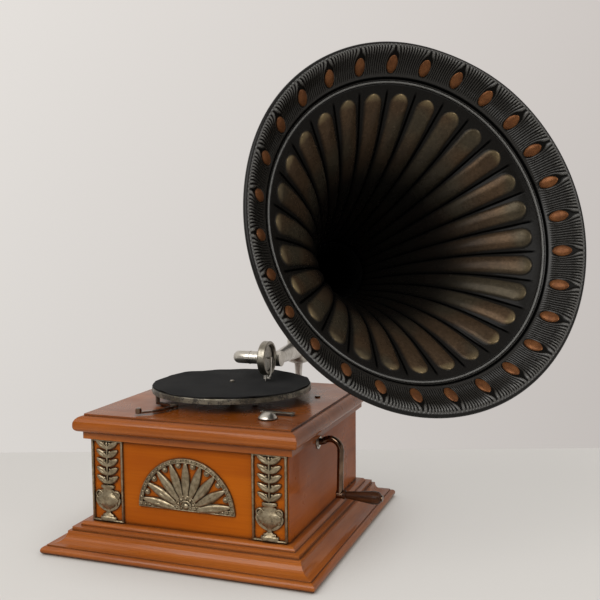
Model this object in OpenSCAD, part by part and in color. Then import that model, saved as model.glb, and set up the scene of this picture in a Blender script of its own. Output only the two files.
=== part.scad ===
// Horn gramophone: wooden case on a moulded plinth, spring motor, turntable,
// gooseneck tonearm with soundbox, side crank and a large fluted horn.
// Millimetres. X to the right, Y to the back, Z up.
// Origin: centre of the plinth's underside, below the turntable spindle.

/* [Case] */
// Width of the wooden body
body_w = 312; // [308:2:330]
// Depth of the wooden body
body_d = 322; // [318:2:340]
// Height of the walls, from the table to the top board
body_h = 184; // [182:1:194]
// Thickness of the walls
wall_t = 12; // [10:1:14]
// Thickness of the bottom board
floor_t = 8; // [6:1:10]
// Height of the bottom board above the table
floor_z = 6; // [4:1:10]

/* [Mouldings] */
// Flat ledge at the foot of the walls
foot_ledge = 7; // [5:0.5:9]
// Radius of the ovolo at the top of the base moulding
ovolo_r = 6; // [5:0.5:8]
// Width of the flat below the ovolo
ovolo_flat = 9; // [7:0.5:12]
// Height of the step below that flat
bead_h = 5; // [4:0.5:7]
// Width of the flat above the cove
cove_flat = 4.5; // [3:0.5:7]
// Radius of the cove
cove_r = 16; // [13:0.5:19]
// Width of the flat below the cove
nosing_flat = 7; // [5:0.5:9]
// Height of the step below the cove
nosing_step = 2; // [1:0.5:3]
// Radius of the rounded bottom edge
nosing_r = 6; // [5:0.5:7]
// Height of the cornice fillet
fillet_h = 11; // [8:1:14]
// How far the cornice fillet stands out from the walls
fillet_out = 8; // [6:0.5:11]
// Radius of the quarter round below the top board
cornice_r = 8; // [6:0.5:10]
// Flat between the fillet and the quarter round
cornice_flat = 3; // [2:0.5:5]
// Upright height of the top board's edge
edge_h = 3; // [2:0.5:5]
// Radius of the top board's rounded edge
edge_r = 12; // [9:0.5:14]
// Height of the small step round the top face
edge_step = 3; // [2:0.5:4]

/* [Front ornaments] */
// Width of the two tall panels
panel_w = 52; // [44:1:60]
// Thickness of the ornaments
ornament_t = 2.4; // [1.6:0.2:3.2]
// Width of the ornaments' borders
border_w = 3.2; // [2.4:0.2:4]
// Distance of the tall panels from the body's edge
panel_inset = 2; // [1:0.5:6]
// Radius of the half-round panel
lunette_r = 76; // [66:1:80]
// Height of the half-round panel's lower edge
lunette_z = 71; // [66:1:76]

/* [Turntable] */
// Radius of the platter
platter_r = 125; // [118:1:127]
// Thickness of the platter's plate and rim
platter_t = 2; // [1.5:0.1:2.5]
// Height of the platter's rim
rim_h = 8.4; // [7:0.2:10]
// Thickness of the felt
felt_t = 1.6; // [1.2:0.1:2.4]
// Space between the top board and the platter's rim
platter_gap = 16; // [15:0.5:20]
// Radius of the spindle
spindle_r = 4; // [3.8:0.1:4.6]
// Radius of the spindle's tip
tip_r = 3.6; // [3:0.1:3.6]
// Height of the spindle's tip above the felt
tip_h = 3.6; // [3:0.2:12]

/* [Crank] */
// Depth of the crank shaft below the top board
crank_drop = 30; // [28:0.5:31]
// Place of the crank shaft along the depth
crank_y = -36; // [-40:0.5:-34]
// Radius of the crank's round bar
shaft_r = 5; // [4.5:0.1:5.5]
// Distance of the crank's arm from the wall
crank_reach = 35; // [32:1:42]
// Radius of the crank's bend
bend_r = 16; // [14:1:18]
// Length of the crank's arm
arm_len = 76; // [68:1:84]
// Lean of the arm in its rest position
arm_lean = 3.8; // [0:0.2:8]
// Length of the handle
handle_len = 58; // [50:1:66]
// Radius of the handle's thick end
handle_r = 10; // [8.5:0.5:12]
// Radius of the handle's thin end
handle_neck_r = 5.6; // [5.2:0.2:6.4]
// Radius of the pin in the handle
handle_pin_r = 3; // [2.4:0.2:3.6]

/* [Brake and regulator] */
// Thickness of the brake lever
lever_t = 3; // [2:0.5:4]
// Radius of the brake lever's knob
brake_knob_r = 4.5; // [3.5:0.5:5.5]
// Radius of the regulator's domed knob
dome_r = 13.5; // [11:0.5:15]
// Height of the regulator's domed knob
dome_h = 8; // [6:0.5:9]
// Length of the regulator's scale bar
scale_len = 52; // [44:1:58]
// Radius of the regulator's spindle
regulator_r = 3; // [2.5:0.1:3.5]

/* [Tonearm] */
// Place of the tonearm's pivot across the width
pivot_x = 24; // [20:1:28]
// Distance of the pivot behind the back wall
pivot_out = 79; // [76:1:86]
// Radius of the tonearm's hub
hub_r = 20; // [19:0.5:22]
// Height of the tonearm's hub
hub_h = 43; // [41:0.5:46]
// Outer radius of the fixed pillar in the hub
pillar_r = 15; // [14:0.2:15.6]
// Wall of the fixed pillar
pillar_t = 2.5; // [2:0.1:3]
// Radius of the knuckle at the tonearm's front
knuckle_r = 12.4; // [11.6:0.1:12.6]
// Length of the knuckle
knuckle_len = 21; // [19:0.5:24]
// Height of the knuckle's axis above the felt
knuckle_h = 31; // [29:0.5:33]
// Radius of the tonearm's tube at the knuckle
arm_r1 = 10; // [9.4:0.1:10.4]
// Radius of the tonearm's tube at the hub
arm_r2 = 17; // [15:0.5:18]
// Outer radius of the gooseneck's tube
neck_r = 10; // [9:0.1:10.2]
// Wall of the gooseneck and of the tonearm
tube_t = 1.2; // [1:0.1:1.6]
// Distance between the gooseneck's two legs
neck_pitch = 40; // [39.5:0.5:44]
// Rise of the gooseneck's near leg, in degrees
neck_tilt = 9.35; // [7:0.5:11]

/* [Soundbox] */
// Radius of the soundbox
box_r = 27; // [25:0.5:27.5]
// Depth of the soundbox's back shell
shell_w = 7; // [6:0.5:9]
// Depth of the soundbox's front ring
ring_w = 6; // [5:0.5:8]
// Inner radius of the front ring
ring_bore = 21; // [18:0.5:22]
// Thickness of the diaphragm
diaphragm_t = 0.6; // [0.4:0.1:1]
// Thickness of each gasket
gasket_t = 1.4; // [1:0.1:1.8]
// Radius of the needle's chuck
chuck_r = 3.2; // [2.8:0.1:4]
// Radius of the needle's shank
needle_r = 0.8; // [0.6:0.1:1]

/* [Horn] */
// Radius of the horn's mouth over its rolled edge
mouth_r = 257; // [247:1:267]
// Length of the horn from elbow to mouth
horn_len = 428; // [418:1:438]
// Length over which the flare falls away
flare = 112; // [106:1:118]
// Widening of the horn's cone for each unit of length
flare_taper = 0.12; // [0.08:0.01:0.14]
// Turn of the horn from the front towards the right, in degrees
horn_yaw = 42.4; // [0:0.1:60]
// Upward tilt of the horn, in degrees
horn_pitch = 15.4; // [13:0.1:22]
// Thickness of the horn's sheet metal
sheet_t = 0.8; // [0.7:0.1:1.2]
// Number of flutes, and of ovals on the flange
flute_count = 28; // [24:2:32]
// Height of the flutes
flute_h = 5; // [3:0.5:6]
// Width of the flange round the bell
flange_w = 48.3; // [44:0.1:52]
// Radius of the rolled edge
roll_r = 4; // [3:0.5:5]
// Length of the ovals
oval_len = 28; // [22:1:32]
// Width of the ovals
oval_w = 16.5; // [12:0.5:18]
// Radius of the horn's elbow pipe
pipe_r = 23; // [21.5:0.5:24]
// Bend radius of the elbow
elbow_r = 60; // [52:1:70]

/* [Motor] */
// Thickness of the motor's plates
plate_t = 4; // [3:0.5:4.5]
// Distance between the motor's plates
motor_h = 126; // [124:1:130]
// Place of the spring barrel across the width
barrel_x = -75; // [-77:0.5:-73]
// Radius of the spring barrel
barrel_r = 44; // [40:0.5:45]
// Height of the spring barrel
barrel_h = 40; // [36:1:42]
// Thickness of the mainspring
spring_t = 0.8; // [0.6:0.1:1]
// Turns of the mainspring
spring_turns = 8; // [6:1:9]
// Radius of the governor's friction disc
disc_r = 18; // [16:0.5:19]

/* [Fits] */
// Radial clearance of turning fits
running_fit = 0.05; // [0.02:0.01:0.09]
// Gap between parts that move past each other
rest_gap = 0.3; // [0.2:0.05:0.5]

/* [Hidden] */
$fn = 64;

// Colours
varnish = "#b3622c";
dark_wood = "#4a2c1c";
pewter = "#8f8a78";
nickel = "#b4b0a6";
iron = "#3a3632";
brass = "#b39a5a";
steel = "#8a8d90";
black_paint = "#1d1d1f";
copper = "#a8623c";
felt_black = "#26272a";
leather = "#6b4a30";
rubber_black = "#2a2a2a";
mica = "#cfc8b4";

// Base moulding, from the wall outwards and from the table upwards
ovolo_out = foot_ledge + ovolo_r;
bead_out = ovolo_out + ovolo_flat;
cove_in = bead_out + cove_flat;
cove_out = cove_in + cove_r;
nosing_out = cove_out + nosing_flat;
nosing_lip = 1.5;
nosing_top = 2 * nosing_r;
cove_z = nosing_top + nosing_step;
bead_z = cove_z + cove_r;
ovolo_z = bead_z + bead_h;
plinth_h = ovolo_z + ovolo_r;

// Cornice and top board
cornice_z = body_h - fillet_h - cornice_r;
top_out = fillet_out + cornice_flat + cornice_r;
edge_lip = 0.5;
top_z = body_h + edge_h + edge_r + edge_step;
mitre_reach = 90;
back_y = body_d / 2;
side_x = body_w / 2;

// Ornaments
panel_gap = 0.4;
panel_h = cornice_z - plinth_h - 2 * panel_gap;

// Turntable
rim_z = top_z + platter_gap;
platter_z = rim_z + rim_h;
felt_z = platter_z + felt_t;
felt_overhang = 0.5;
boss_r = 12;
boss_h = 16;
collar_r = 7;
collar_h = 3;
tip_cone = 1.2;
spindle_hole_r = 10;

// Motor: every height hangs from the top board
upper_z = body_h - plate_t;
lower_top_z = upper_z - motor_h;
lower_z = lower_top_z - plate_t;
plate_side_gap = 10;
plate_left = wall_t + plate_side_gap + 2 - side_x;
plate_right = side_x - wall_t - plate_side_gap;
plate_front = -92;
plate_rear = 62;
pillar_in = 12;
pillar_post_r = 5;
pillar_places = [[plate_left + pillar_in, -83], [60, -83], [104, 54], [plate_left + pillar_in, 54]];
screw_places = [[-82, -75], [plate_right - 9, 52], [57, -42], [plate_left + 32, 50]];
screw_r = 2.5;
screw_head_r = 4.5;
screw_head_h = 2.2;
thrust_r = 8;
thrust_h = 6.3;
pivot_r = 2;

// Gear train: great wheel, intermediate pinion and wheel, spindle pinion
gear_slack = 0.25;
great_teeth = 96;
great_module = 1;
pinion_teeth = 12;
wheel_teeth = 72;
wheel_module = 0.8;
great_t = 6;
great_z = lower_top_z + 28;
wheel_z = lower_top_z + 12;
wheel_t = 4;
pinion_over = 3;
arbor_r = 6;
arbor_core_r = 10;
arbor_pivot_r = 4;
inter_r = 3;
barrel_at = [barrel_x, crank_y];
barrel_dist = norm(barrel_at);
great_dist = (great_teeth + pinion_teeth) * great_module / 2 + gear_slack;
wheel_dist = (wheel_teeth + pinion_teeth) * wheel_module / 2 + gear_slack;
barrel_dir = atan2(crank_y, barrel_x);
inter_turn = acos((wheel_dist ^ 2 + barrel_dist ^ 2 - great_dist ^ 2) / (2 * wheel_dist * barrel_dist));
inter_dir = barrel_dir - inter_turn;
inter_at = wheel_dist * [cos(inter_dir), sin(inter_dir)];
great_dir = atan2(inter_at[1] - crank_y, inter_at[0] - barrel_x);

// Spring barrel
barrel_z = great_z + great_t;
barrel_t = 2;
cover_t = 2.5;
spring_in_r = arbor_core_r + 2;
spring_out_r = barrel_r - barrel_t - 1;
spring_edge_gap = 2;

// Winding gear: crown wheel on the arbor, pinion on the winding shaft
crank_z = body_h - crank_drop;
crown_teeth = 24;
crown_module = 1.5;
crown_r = crown_teeth * crown_module / 2;
crown_face = 7;
crown_t = 5.3;
winding_pinion_r = pinion_teeth * crown_module / 2;
crown_depth = 0.3;
crown_tooth_h = 3.2;
crown_tip_z = crank_z - winding_pinion_r + crown_depth;
crown_z = crown_tip_z - crown_tooth_h;
shaft_end_x = barrel_x + crown_r - crown_face / 2 - 1;
hanger_w = 8;
hanger_d = 18;
hanger_below = 10;
sleeve_r = 8.5;
sleeve_len = 20;
sleeve_x = side_x - wall_t - sleeve_len - 8;
sleeve_floor = 2;
hanger_places = [barrel_x + crown_r + crown_face / 2 + 5, sleeve_x - hanger_w - 2];
bush_gap = 0.4;
arch_r = 12;
arch_turn = 35;
weld = 3;
weld_rise = 0.3;
wall_hole_gap = 2;

// Governor: a wheel on the spindle drives a worm on a lying shaft
gov_teeth = 36;
gov_starts = 4;
gov_wheel_r = 20;
gov_wheel_t = 4;
worm_r = 6;
worm_len = 22;
gov_slack = 0.15;
gov_z = lower_top_z + 51;
gov_y = -(gov_wheel_r + worm_r + gov_slack);
gov_pitch = 2 * PI * gov_wheel_r / gov_teeth;
worm_lead = gov_pitch * gov_starts;
wheel_twist = gov_wheel_t * worm_lead / (2 * PI * worm_r) / gov_wheel_r * 180 / PI;
gov_shaft_r = 2.5;
gov_pivot_r = 1.5;
gov_left = -16;
gov_right = 100;
post_t = 4;
post_w = 12;
post_above = 7;
collar_x = 20;
collar_w = 5;
gov_collar_r = 6;
gov_sleeve_x = 70;
gov_sleeve_w = 6;
disc_t = 2;
leaf_t = 0.6;
leaf_w = 5;
leaf_bow = 8;
weight_r = 6;
weight_h = 5.5;
weight_count = 3;

// Regulator and its pad on the friction disc
knob_in = 48;
knob_x = side_x - knob_in;
knob_y = -117;
scale_y = -88;
scale_w = 8;
scale_t = 1.5;
scale_lift = 3;
scale_post_r = 2.5;
pad_r = 4;
pad_t = 4;
pad_drop = 14;
pad_x = gov_sleeve_x + gov_sleeve_w + disc_t + rest_gap;
pad_y = gov_y - pad_drop;
arm_bar_w = 6;
arm_bar_t = 3;
dome_lift = 1.2;

// Brake
brake_at = [-52, -96];
brake_knob_at = [-80, -152];
brake_bow = 10;
brake_arm_w = 5;
brake_knob_h = 5;
brake_pad_dir = 224;
brake_pad_w = 8;
brake_pad_t = 4.5;
brake_pad_h = 15;
brake_lift = screw_head_h + rest_gap;
brake_pin_r = 3;
brake_eye_r = 6.5;
brake_bar_w = 6;
rim_bore = platter_r - platter_t;
pad_face_r = sqrt((rim_bore - rest_gap) ^ 2 - (brake_pad_w / 2) ^ 2);
brake_pad_at = (pad_face_r - brake_pad_t / 2) * [cos(brake_pad_dir), sin(brake_pad_dir)];

// Tonearm, bracket and gooseneck
pivot_y = back_y + pivot_out;
hub_z = felt_z + 1.3;
pillar_z = hub_z + hub_h + 24.5;
knuckle_z = felt_z + knuckle_h;
knuckle_y = 61.5;
knuckle_x = 40;
arm_at = [knuckle_x + knuckle_len / 2, knuckle_y, knuckle_z];
arm_end = [pivot_x, pivot_y, hub_z + hub_h / 2 - 1];
spigot_len = 13;
neck_left = -13;
neck_bend_x = neck_left + neck_pitch / 2 + neck_r;
box_x = 44;
neck_far_x = knuckle_x + spigot_len;
seam_x = 22;
near_y = knuckle_y - neck_pitch * cos(neck_tilt);
near_z = knuckle_z + neck_pitch * sin(neck_tilt);
window_w = 22;
bracket_collar_r = hub_r - 1;
bracket_collar_h = 7;
bracket_bar_r = 5.5;
bracket_arm_r = 73;
wall_plate_w = 60;
wall_plate_h = 72;
wall_plate_t = 6;
wall_plate_corner = 10;
plate_screw_inset = 11;
plate_screw_r = 2.5;
plate_screw_head_r = 5;
plate_screw_head_h = 2.5;
plate_screw_len = 10;
bracket_bar_z = hub_z - bracket_collar_h - 26 - bracket_arm_r;

// Soundbox
box_front_x = box_x + shell_w;
gasket_in_r = ring_bore - 1;
gasket_out_r = box_r - 3;
box_lip_t = 1.2;
socket_r = 12.5;
socket_len = 4;
chuck_x = box_x + shell_w - 0.5;
chuck_top = box_r + 0.4;
chuck_h = 5.6;
bar_foot = 1.2;
screw_drop = 3.7;
bar_w = 3;
bar_t = 1.6;
tip_down = (near_z - felt_z - rest_gap) / cos(neck_tilt);
needle_grip = 4.5;
thumb_r = 2.1;
thumb_h = 4;
thumb_stem_r = 1.2;

// Horn
bend = 90 - horn_pitch;
elbow_z = pillar_z + 12;
elbow_seat = 2;
pipe_t = 1.2;
elbow_end = [elbow_r * (1 - cos(bend)), elbow_z + elbow_r * sin(bend)];
mouth_at = elbow_end + horn_len * [cos(horn_pitch), sin(horn_pitch)];
throat_r = pipe_r - pipe_t;
flare_end = exp(-horn_len / flare);
neck_s = 300;
throat_s = 128;
seam_s = 38.5;
seam_gap = 0.15;
seam_r = mouth_r - flange_w;
flare_rise = (seam_r - throat_r - flare_taper * (horn_len - seam_s)) / (exp(-seam_s / flare) - flare_end);
flare_core = throat_r - flare_rise * flare_end;
cone_r = mouth_r - roll_r;
lip_s = 1.1 * roll_r;
cone_tilt = atan2(seam_s - lip_s, cone_r - seam_r);
flange_bulge = 2;
flange_steps = 8;
horn_turn = 2.7;
flute_s = 46;
flute_round = 22;
flute_share = 0.46;
bell_rings = 9;
bell_crowd = 1.35;
throat_rings = 5;
flute_steps = 6;
bead_r = 1.6;
oval_place = 0.476;
oval_h = 3;
oval_edge = 0.5;
oval_lift = 0.1;
ferrule_len = 22;
ferrule_t = 3;

// Points along an arc, for outlines
function arc(c, r, a0, a1, n = 8) =
    [for (i = [0:n]) let (a = a0 + (a1 - a0) * i / n) c + r * [cos(a), sin(a)]];

// Inner radius of the horn at depth s behind the mouth
function horn_r(s) = flare_core + flare_taper * (horn_len - s) + flare_rise * exp(-s / flare);
function horn_slope(s) = -flare_taper - flare_rise / flare * exp(-s / flare);

// A point on the flange's front, from the seam at 0 to the rolled edge at 1, and its slope there
function flange_at(t) = [seam_r + (cone_r - seam_r) * t,
    (seam_s - lip_s) * t - seam_s + 4 * flange_bulge * t * (1 - t)];
function flange_slope(t) = (seam_s - lip_s + 4 * flange_bulge * (1 - 2 * t)) / (cone_r - seam_r);

// A leaf-shaped outline with two pointed ends
module leaf(len, wid) {
    r = (len ^ 2 + wid ^ 2) / (4 * wid);
    intersection() {
        translate([0, r - wid / 2]) circle(r);
        translate([0, wid / 2 - r]) circle(r);
    }
}

// A rectangle with round corners, centred
module round_rect(w, h, r) {
    square([w - 2 * r, h], center = true);
    square([w, h - 2 * r], center = true);
    for (x = [-1, 1], y = [-1, 1]) translate([x * (w / 2 - r), y * (h / 2 - r)]) circle(r);
}

// A straight bar between two points of the plan, with round ends
module bar(a, b, w) {
    d = b - a;
    translate(a) rotate(atan2(d[1], d[0])) translate([0, -w / 2]) square([norm(d), w]);
    translate(a) circle(w / 2);
    translate(b) circle(w / 2);
}

// Lays a child that stands on +Z along a direction
module along(d) {
    rotate([0, acos(d[2] / norm(d)), atan2(d[1], d[0])]) children();
}

// Turns a child that stands on +Z to point along +X
module to_x() {
    rotate([0, 90, 0]) children();
}

// A gear outline with straight-sided teeth, one tooth on the X axis
module gear(teeth, size) {
    pitch = 360 / teeth;
    tip = size * (teeth / 2 + 0.9);
    root = size * (teeth / 2 - 1.15);
    polygon([for (i = [0:teeth - 1], p = [[root, -0.29], [tip, -0.11], [tip, 0.11], [root, 0.29]])
        p[0] * [cos((i + p[1]) * pitch), sin((i + p[1]) * pitch)]]);
}

// One side of a mitred frame round a rectangle; the child is the side's section,
// x outwards from the rectangle and y upwards. Side 0 is the front, then anticlockwise.
module frame_side(side) {
    half = side % 2 == 0 ? body_d / 2 : body_w / 2;
    len = side % 2 == 0 ? body_w : body_d;
    inset = 2 * wall_t;
    out = len / 2 + mitre_reach;
    rotate(90 * side) intersection() {
        translate([0, -half, 0]) rotate([90, 0, -90])
            linear_extrude(2 * out, center = true) children();
        linear_extrude(top_z) polygon([[-out, -half - mitre_reach], [out, -half - mitre_reach],
            [len / 2 - inset, inset - half], [inset - len / 2, inset - half]]);
    }
}

module base_section() {
    polygon(concat([[0, 0]],
        arc([nosing_out, nosing_r], nosing_r, -90, 90),
        [[nosing_out - nosing_lip, nosing_top], [nosing_out - nosing_lip, cove_z]],
        arc([cove_out, bead_z], cove_r, 270, 180),
        [[bead_out, bead_z], [bead_out, ovolo_z]],
        arc([foot_ledge, ovolo_z], ovolo_r, 0, 90),
        [[0, plinth_h]]));
}

module cornice_section() {
    polygon(concat([[0, cornice_z], [fillet_out, cornice_z], [fillet_out, cornice_z + fillet_h]],
        arc([top_out - cornice_r, body_h], cornice_r, -90, 0),
        [[0, body_h]]));
}

// Half of the top board's section, out to its moulded edge
function board_edge(half) = concat([[half + top_out, body_h]],
    arc([half + top_out - edge_r, body_h + edge_h], edge_r, 0, 90),
    [[half + top_out - edge_r - edge_lip, top_z - edge_step],
    [half + top_out - edge_r - edge_lip, top_z]]);

module board_section(half) {
    edge = board_edge(half);
    polygon(concat(edge, [for (i = [len(edge) - 1:-1:0]) [-edge[i][0], edge[i][1]]]));
}

module wall(side) {
    color(varnish) frame_side(side) translate([-wall_t, 0]) square([wall_t, body_h]);
}

module base_moulding() {
    color(varnish) for (side = [0:3]) frame_side(side) base_section();
}

module cornice_moulding() {
    color(varnish) for (side = [0:3]) frame_side(side) cornice_section();
}

module case_front() {
    wall(0);
}

module case_back() {
    wall(2);
}

module case_left() {
    wall(3);
}

module case_right() {
    difference() {
        wall(1);
        color(varnish) translate([side_x - wall_t - 1, crank_y, crank_z]) to_x()
            cylinder(r = shaft_r + wall_hole_gap, h = wall_t + 2);
    }
}

module bottom_board() {
    color(varnish) translate([wall_t - side_x + rest_gap, wall_t - back_y + rest_gap, floor_z])
        cube([body_w - 2 * (wall_t + rest_gap), body_d - 2 * (wall_t + rest_gap), floor_t]);
}

module top_board() {
    color(varnish) difference() {
        intersection() {
            rotate([90, 0, 0]) linear_extrude(2 * body_d, center = true) board_section(body_w / 2);
            rotate([90, 0, 90]) linear_extrude(2 * body_w, center = true) board_section(body_d / 2);
        }
        translate([0, 0, body_h - 1]) cylinder(r = spindle_hole_r, h = top_z - body_h + 2);
        for (p = screw_places) translate([p[0], p[1], body_h - 1])
            cylinder(r = screw_r + running_fit, h = top_z - body_h + 2);
        translate([knob_x, knob_y, body_h - 1])
            cylinder(r = regulator_r + running_fit, h = top_z - body_h + 2);
        translate([brake_at[0], brake_at[1], top_z - 10]) cylinder(r = brake_pin_r, h = 11);
    }
}

// An urn on a foot, drawn from the ground line up
module urn() {
    translate([-13, 0]) square([26, 5]);
    translate([-9, 4.5]) square([18, 4]);
    translate([-3, 8]) square([6, 10]);
    translate([0, 30]) leaf(42, 34);
    translate([0, 29]) circle(13.5);
    translate([-7, 40]) square([14, 9]);
    translate([-11, 48]) square([22, 4]);
    for (x = [-1, 1]) translate([x * 14, 38]) difference() {
        circle(6.5);
        circle(4);
    }
}

// Tall openwork panel: border, urn and climbing vine
module tall_panel() {
    stem_w = 3;
    vine_z = 50;
    pairs = 5;
    leaf_step = (panel_h - border_w - vine_z) / (pairs + 0.4);
    difference() {
        translate([-panel_w / 2, 0]) square([panel_w, panel_h]);
        translate([border_w - panel_w / 2, border_w])
            square([panel_w - 2 * border_w, panel_h - 2 * border_w]);
    }
    translate([0, border_w - 0.5]) urn();
    translate([-stem_w / 2, vine_z]) square([stem_w, panel_h - vine_z - 1]);
    for (i = [0:pairs - 1], x = [-1, 1]) translate([0, vine_z + (i + 0.6) * leaf_step])
        mirror([x < 0 ? 1 : 0, 0]) rotate(32) translate([10, 0]) leaf(22, 9);
}

module panel_at(x) {
    color(pewter) translate([x, -back_y, plinth_h + panel_gap]) rotate([90, 0, 0])
        linear_extrude(ornament_t) tall_panel();
}

module left_panel() {
    panel_at(panel_w / 2 + panel_inset - side_x);
}

module right_panel() {
    panel_at(side_x - panel_w / 2 - panel_inset);
}

// Half-round openwork panel: arch, foot rail and a fan of petals
module lunette() {
    rail_h = 8;
    arch_w = 6.5;
    petals = 9;
    heart_r = 17;
    petal_len = lunette_r - arch_w - heart_r + 5;
    intersection() {
        translate([-lunette_r, 0]) square([2 * lunette_r, lunette_r]);
        union() {
            difference() {
                circle(lunette_r);
                circle(lunette_r - arch_w);
            }
            translate([0, rail_h - 2]) circle(heart_r);
            for (i = [0:petals - 1]) rotate(180 * (i + 0.5) / petals)
                translate([heart_r - 2.5 + petal_len / 2, 0]) leaf(petal_len, 13);
            for (i = [1:petals - 1]) rotate(180 * i / petals)
                translate([lunette_r - arch_w - 3.5, 0]) circle(4);
            translate([-lunette_r, 0]) square([2 * lunette_r, rail_h]);
        }
    }
}

module lunette_panel() {
    color(pewter) translate([0, -back_y, lunette_z]) rotate([90, 0, 0])
        linear_extrude(ornament_t) lunette();
}

module crank_escutcheon() {
    color(nickel) translate([side_x, crank_y, crank_z]) to_x() difference() {
        union() {
            cylinder(r = shaft_r + 6, h = 1.2);
            cylinder(r = shaft_r + 3, h = 2.6);
        }
        translate([0, 0, -1]) cylinder(r = shaft_r + bush_gap, h = 5);
    }
}

// The motor's two plates share one outline and one set of pivot holes
module plate_outline() {
    translate([(plate_left + plate_right) / 2, (plate_front + plate_rear) / 2])
        round_rect(plate_right - plate_left, plate_rear - plate_front, 8);
}

module pivot_holes(spindle_bore) {
    circle(spindle_bore + running_fit);
    translate(barrel_at) circle(arbor_pivot_r + running_fit);
    translate(inter_at) circle(pivot_r + running_fit);
}

module motor_top_plate() {
    color(steel) translate([0, 0, upper_z]) linear_extrude(plate_t) difference() {
        plate_outline();
        pivot_holes(spindle_r);
        for (p = screw_places) translate(p) circle(screw_r + running_fit);
    }
}

module motor_bottom_plate() {
    color(steel) translate([0, 0, lower_z]) linear_extrude(plate_t) difference() {
        plate_outline();
        pivot_holes(pivot_r + 1);
    }
}

module motor_pillars() {
    color(steel) for (p = pillar_places) translate([p[0], p[1], lower_top_z])
        cylinder(r = pillar_post_r, h = motor_h);
}

module motor_screws() {
    color(iron) for (p = screw_places) translate([p[0], p[1], upper_z]) {
        cylinder(r = screw_r, h = top_z - upper_z + 0.5);
        translate([0, 0, top_z - upper_z]) cylinder(r = screw_head_r, h = screw_head_h);
    }
}

// The left bearing hangs from the upper plate, the right one stands on the lower plate
module governor_bearings() {
    color(brass) difference() {
        union() {
            translate([gov_left - post_t, gov_y - post_w / 3, gov_z - post_above])
                cube([post_t, post_w * 5 / 6, upper_z - gov_z + post_above]);
            translate([gov_right, gov_y - post_w / 2, lower_top_z])
                cube([post_t, post_w, gov_z - lower_top_z + post_above]);
        }
        translate([gov_left - post_t - 1, gov_y, gov_z]) to_x()
            cylinder(r = gov_pivot_r + running_fit, h = gov_right - gov_left + 2 * post_t + 2);
    }
}

module thrust_bearing() {
    color(brass) translate([0, 0, lower_z - thrust_h]) difference() {
        cylinder(r = thrust_r, h = thrust_h);
        translate([0, 0, thrust_h / 2]) cylinder(r = pivot_r + 1 + running_fit, h = thrust_h);
    }
}

module shaft_hangers() {
    color(steel) for (x = hanger_places) difference() {
        translate([x, crank_y - hanger_d / 2, crank_z - hanger_below])
            cube([hanger_w, hanger_d, upper_z - crank_z + hanger_below]);
        translate([x - 1, crank_y, crank_z]) to_x() cylinder(r = shaft_r + running_fit, h = hanger_w + 2);
    }
}

// Wall plate, curved arm, post and the hollow pillar that the horn sits on
module horn_bracket() {
    plate_mid_z = bracket_bar_z;
    bend_y = pivot_y - bracket_arm_r;
    post_z = bracket_bar_z + bracket_arm_r;
    color(nickel) difference() {
        union() {
            translate([pivot_x, back_y + wall_plate_t, plate_mid_z]) rotate([90, 0, 0])
                linear_extrude(wall_plate_t) round_rect(wall_plate_w, wall_plate_h, wall_plate_corner);
            translate([pivot_x, back_y, plate_mid_z]) rotate([-90, 0, 0])
                cylinder(r = bracket_bar_r, h = bend_y - back_y);
            translate([pivot_x, back_y + wall_plate_t, plate_mid_z]) rotate([-90, 0, 0])
                cylinder(r1 = 2.4 * bracket_bar_r, r2 = bracket_bar_r, h = 12);
            translate([pivot_x, bend_y, post_z]) rotate([90, 0, 90]) rotate(-90)
                rotate_extrude(angle = 90) translate([bracket_arm_r, 0]) circle(bracket_bar_r);
            translate([pivot_x, pivot_y, post_z])
                cylinder(r1 = bracket_bar_r, r2 = bracket_bar_r + 2, h = hub_z - bracket_collar_h - post_z);
            translate([pivot_x, pivot_y, hub_z - bracket_collar_h])
                cylinder(r1 = bracket_bar_r + 2, r2 = bracket_collar_r, h = bracket_collar_h - 3);
            translate([pivot_x, pivot_y, hub_z - 3]) cylinder(r = bracket_collar_r, h = 3);
            translate([pivot_x, pivot_y, hub_z - 1]) cylinder(r = pillar_r, h = pillar_z - hub_z + 1);
        }
        translate([pivot_x, pivot_y, hub_z]) cylinder(r = pillar_r - pillar_t, h = pillar_z);
        translate([pivot_x - window_w / 2, pivot_y - 2 * pillar_r, hub_z + 8])
            cube([window_w, 2 * pillar_r, 26]);
        for (x = [-1, 1], z = [-1, 1]) translate([pivot_x + x * (wall_plate_w / 2 - plate_screw_inset),
            back_y - 1, plate_mid_z + z * (wall_plate_h / 2 - plate_screw_inset)]) rotate([-90, 0, 0])
            cylinder(r = plate_screw_r + running_fit, h = wall_plate_t + 2);
    }
}

// The shanks stop at the plate's back face, flush with the wall
module bracket_screws() {
    color(steel) for (x = [-1, 1], z = [-1, 1])
        translate([pivot_x + x * (wall_plate_w / 2 - plate_screw_inset), back_y,
            bracket_bar_z + z * (wall_plate_h / 2 - plate_screw_inset)]) rotate([-90, 0, 0]) {
            cylinder(r = plate_screw_r, h = wall_plate_t + 1);
            translate([0, 0, wall_plate_t]) cylinder(r = plate_screw_head_r, h = plate_screw_head_h);
        }
}

module speed_scale() {
    color(nickel) translate([knob_x, scale_y, top_z]) {
        translate([-scale_len / 2 + 4, -scale_w / 2, scale_lift]) cube([scale_len, scale_w, scale_t]);
        for (x = [-0.36, 0.5]) translate([x * scale_len, 0, 0])
            cylinder(r = scale_post_r, h = scale_lift + scale_t + 1);
    }
}

module brake_pivot() {
    color(steel) translate([brake_at[0], brake_at[1], top_z]) {
        translate([0, 0, -9]) cylinder(r = brake_pin_r, h = 9 + brake_lift + lever_t + rest_gap + 1);
        cylinder(r = brake_eye_r, h = brake_lift - rest_gap);
        translate([0, 0, brake_lift + lever_t + rest_gap]) cylinder(r = brake_eye_r - 1, h = 2);
    }
}

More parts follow.
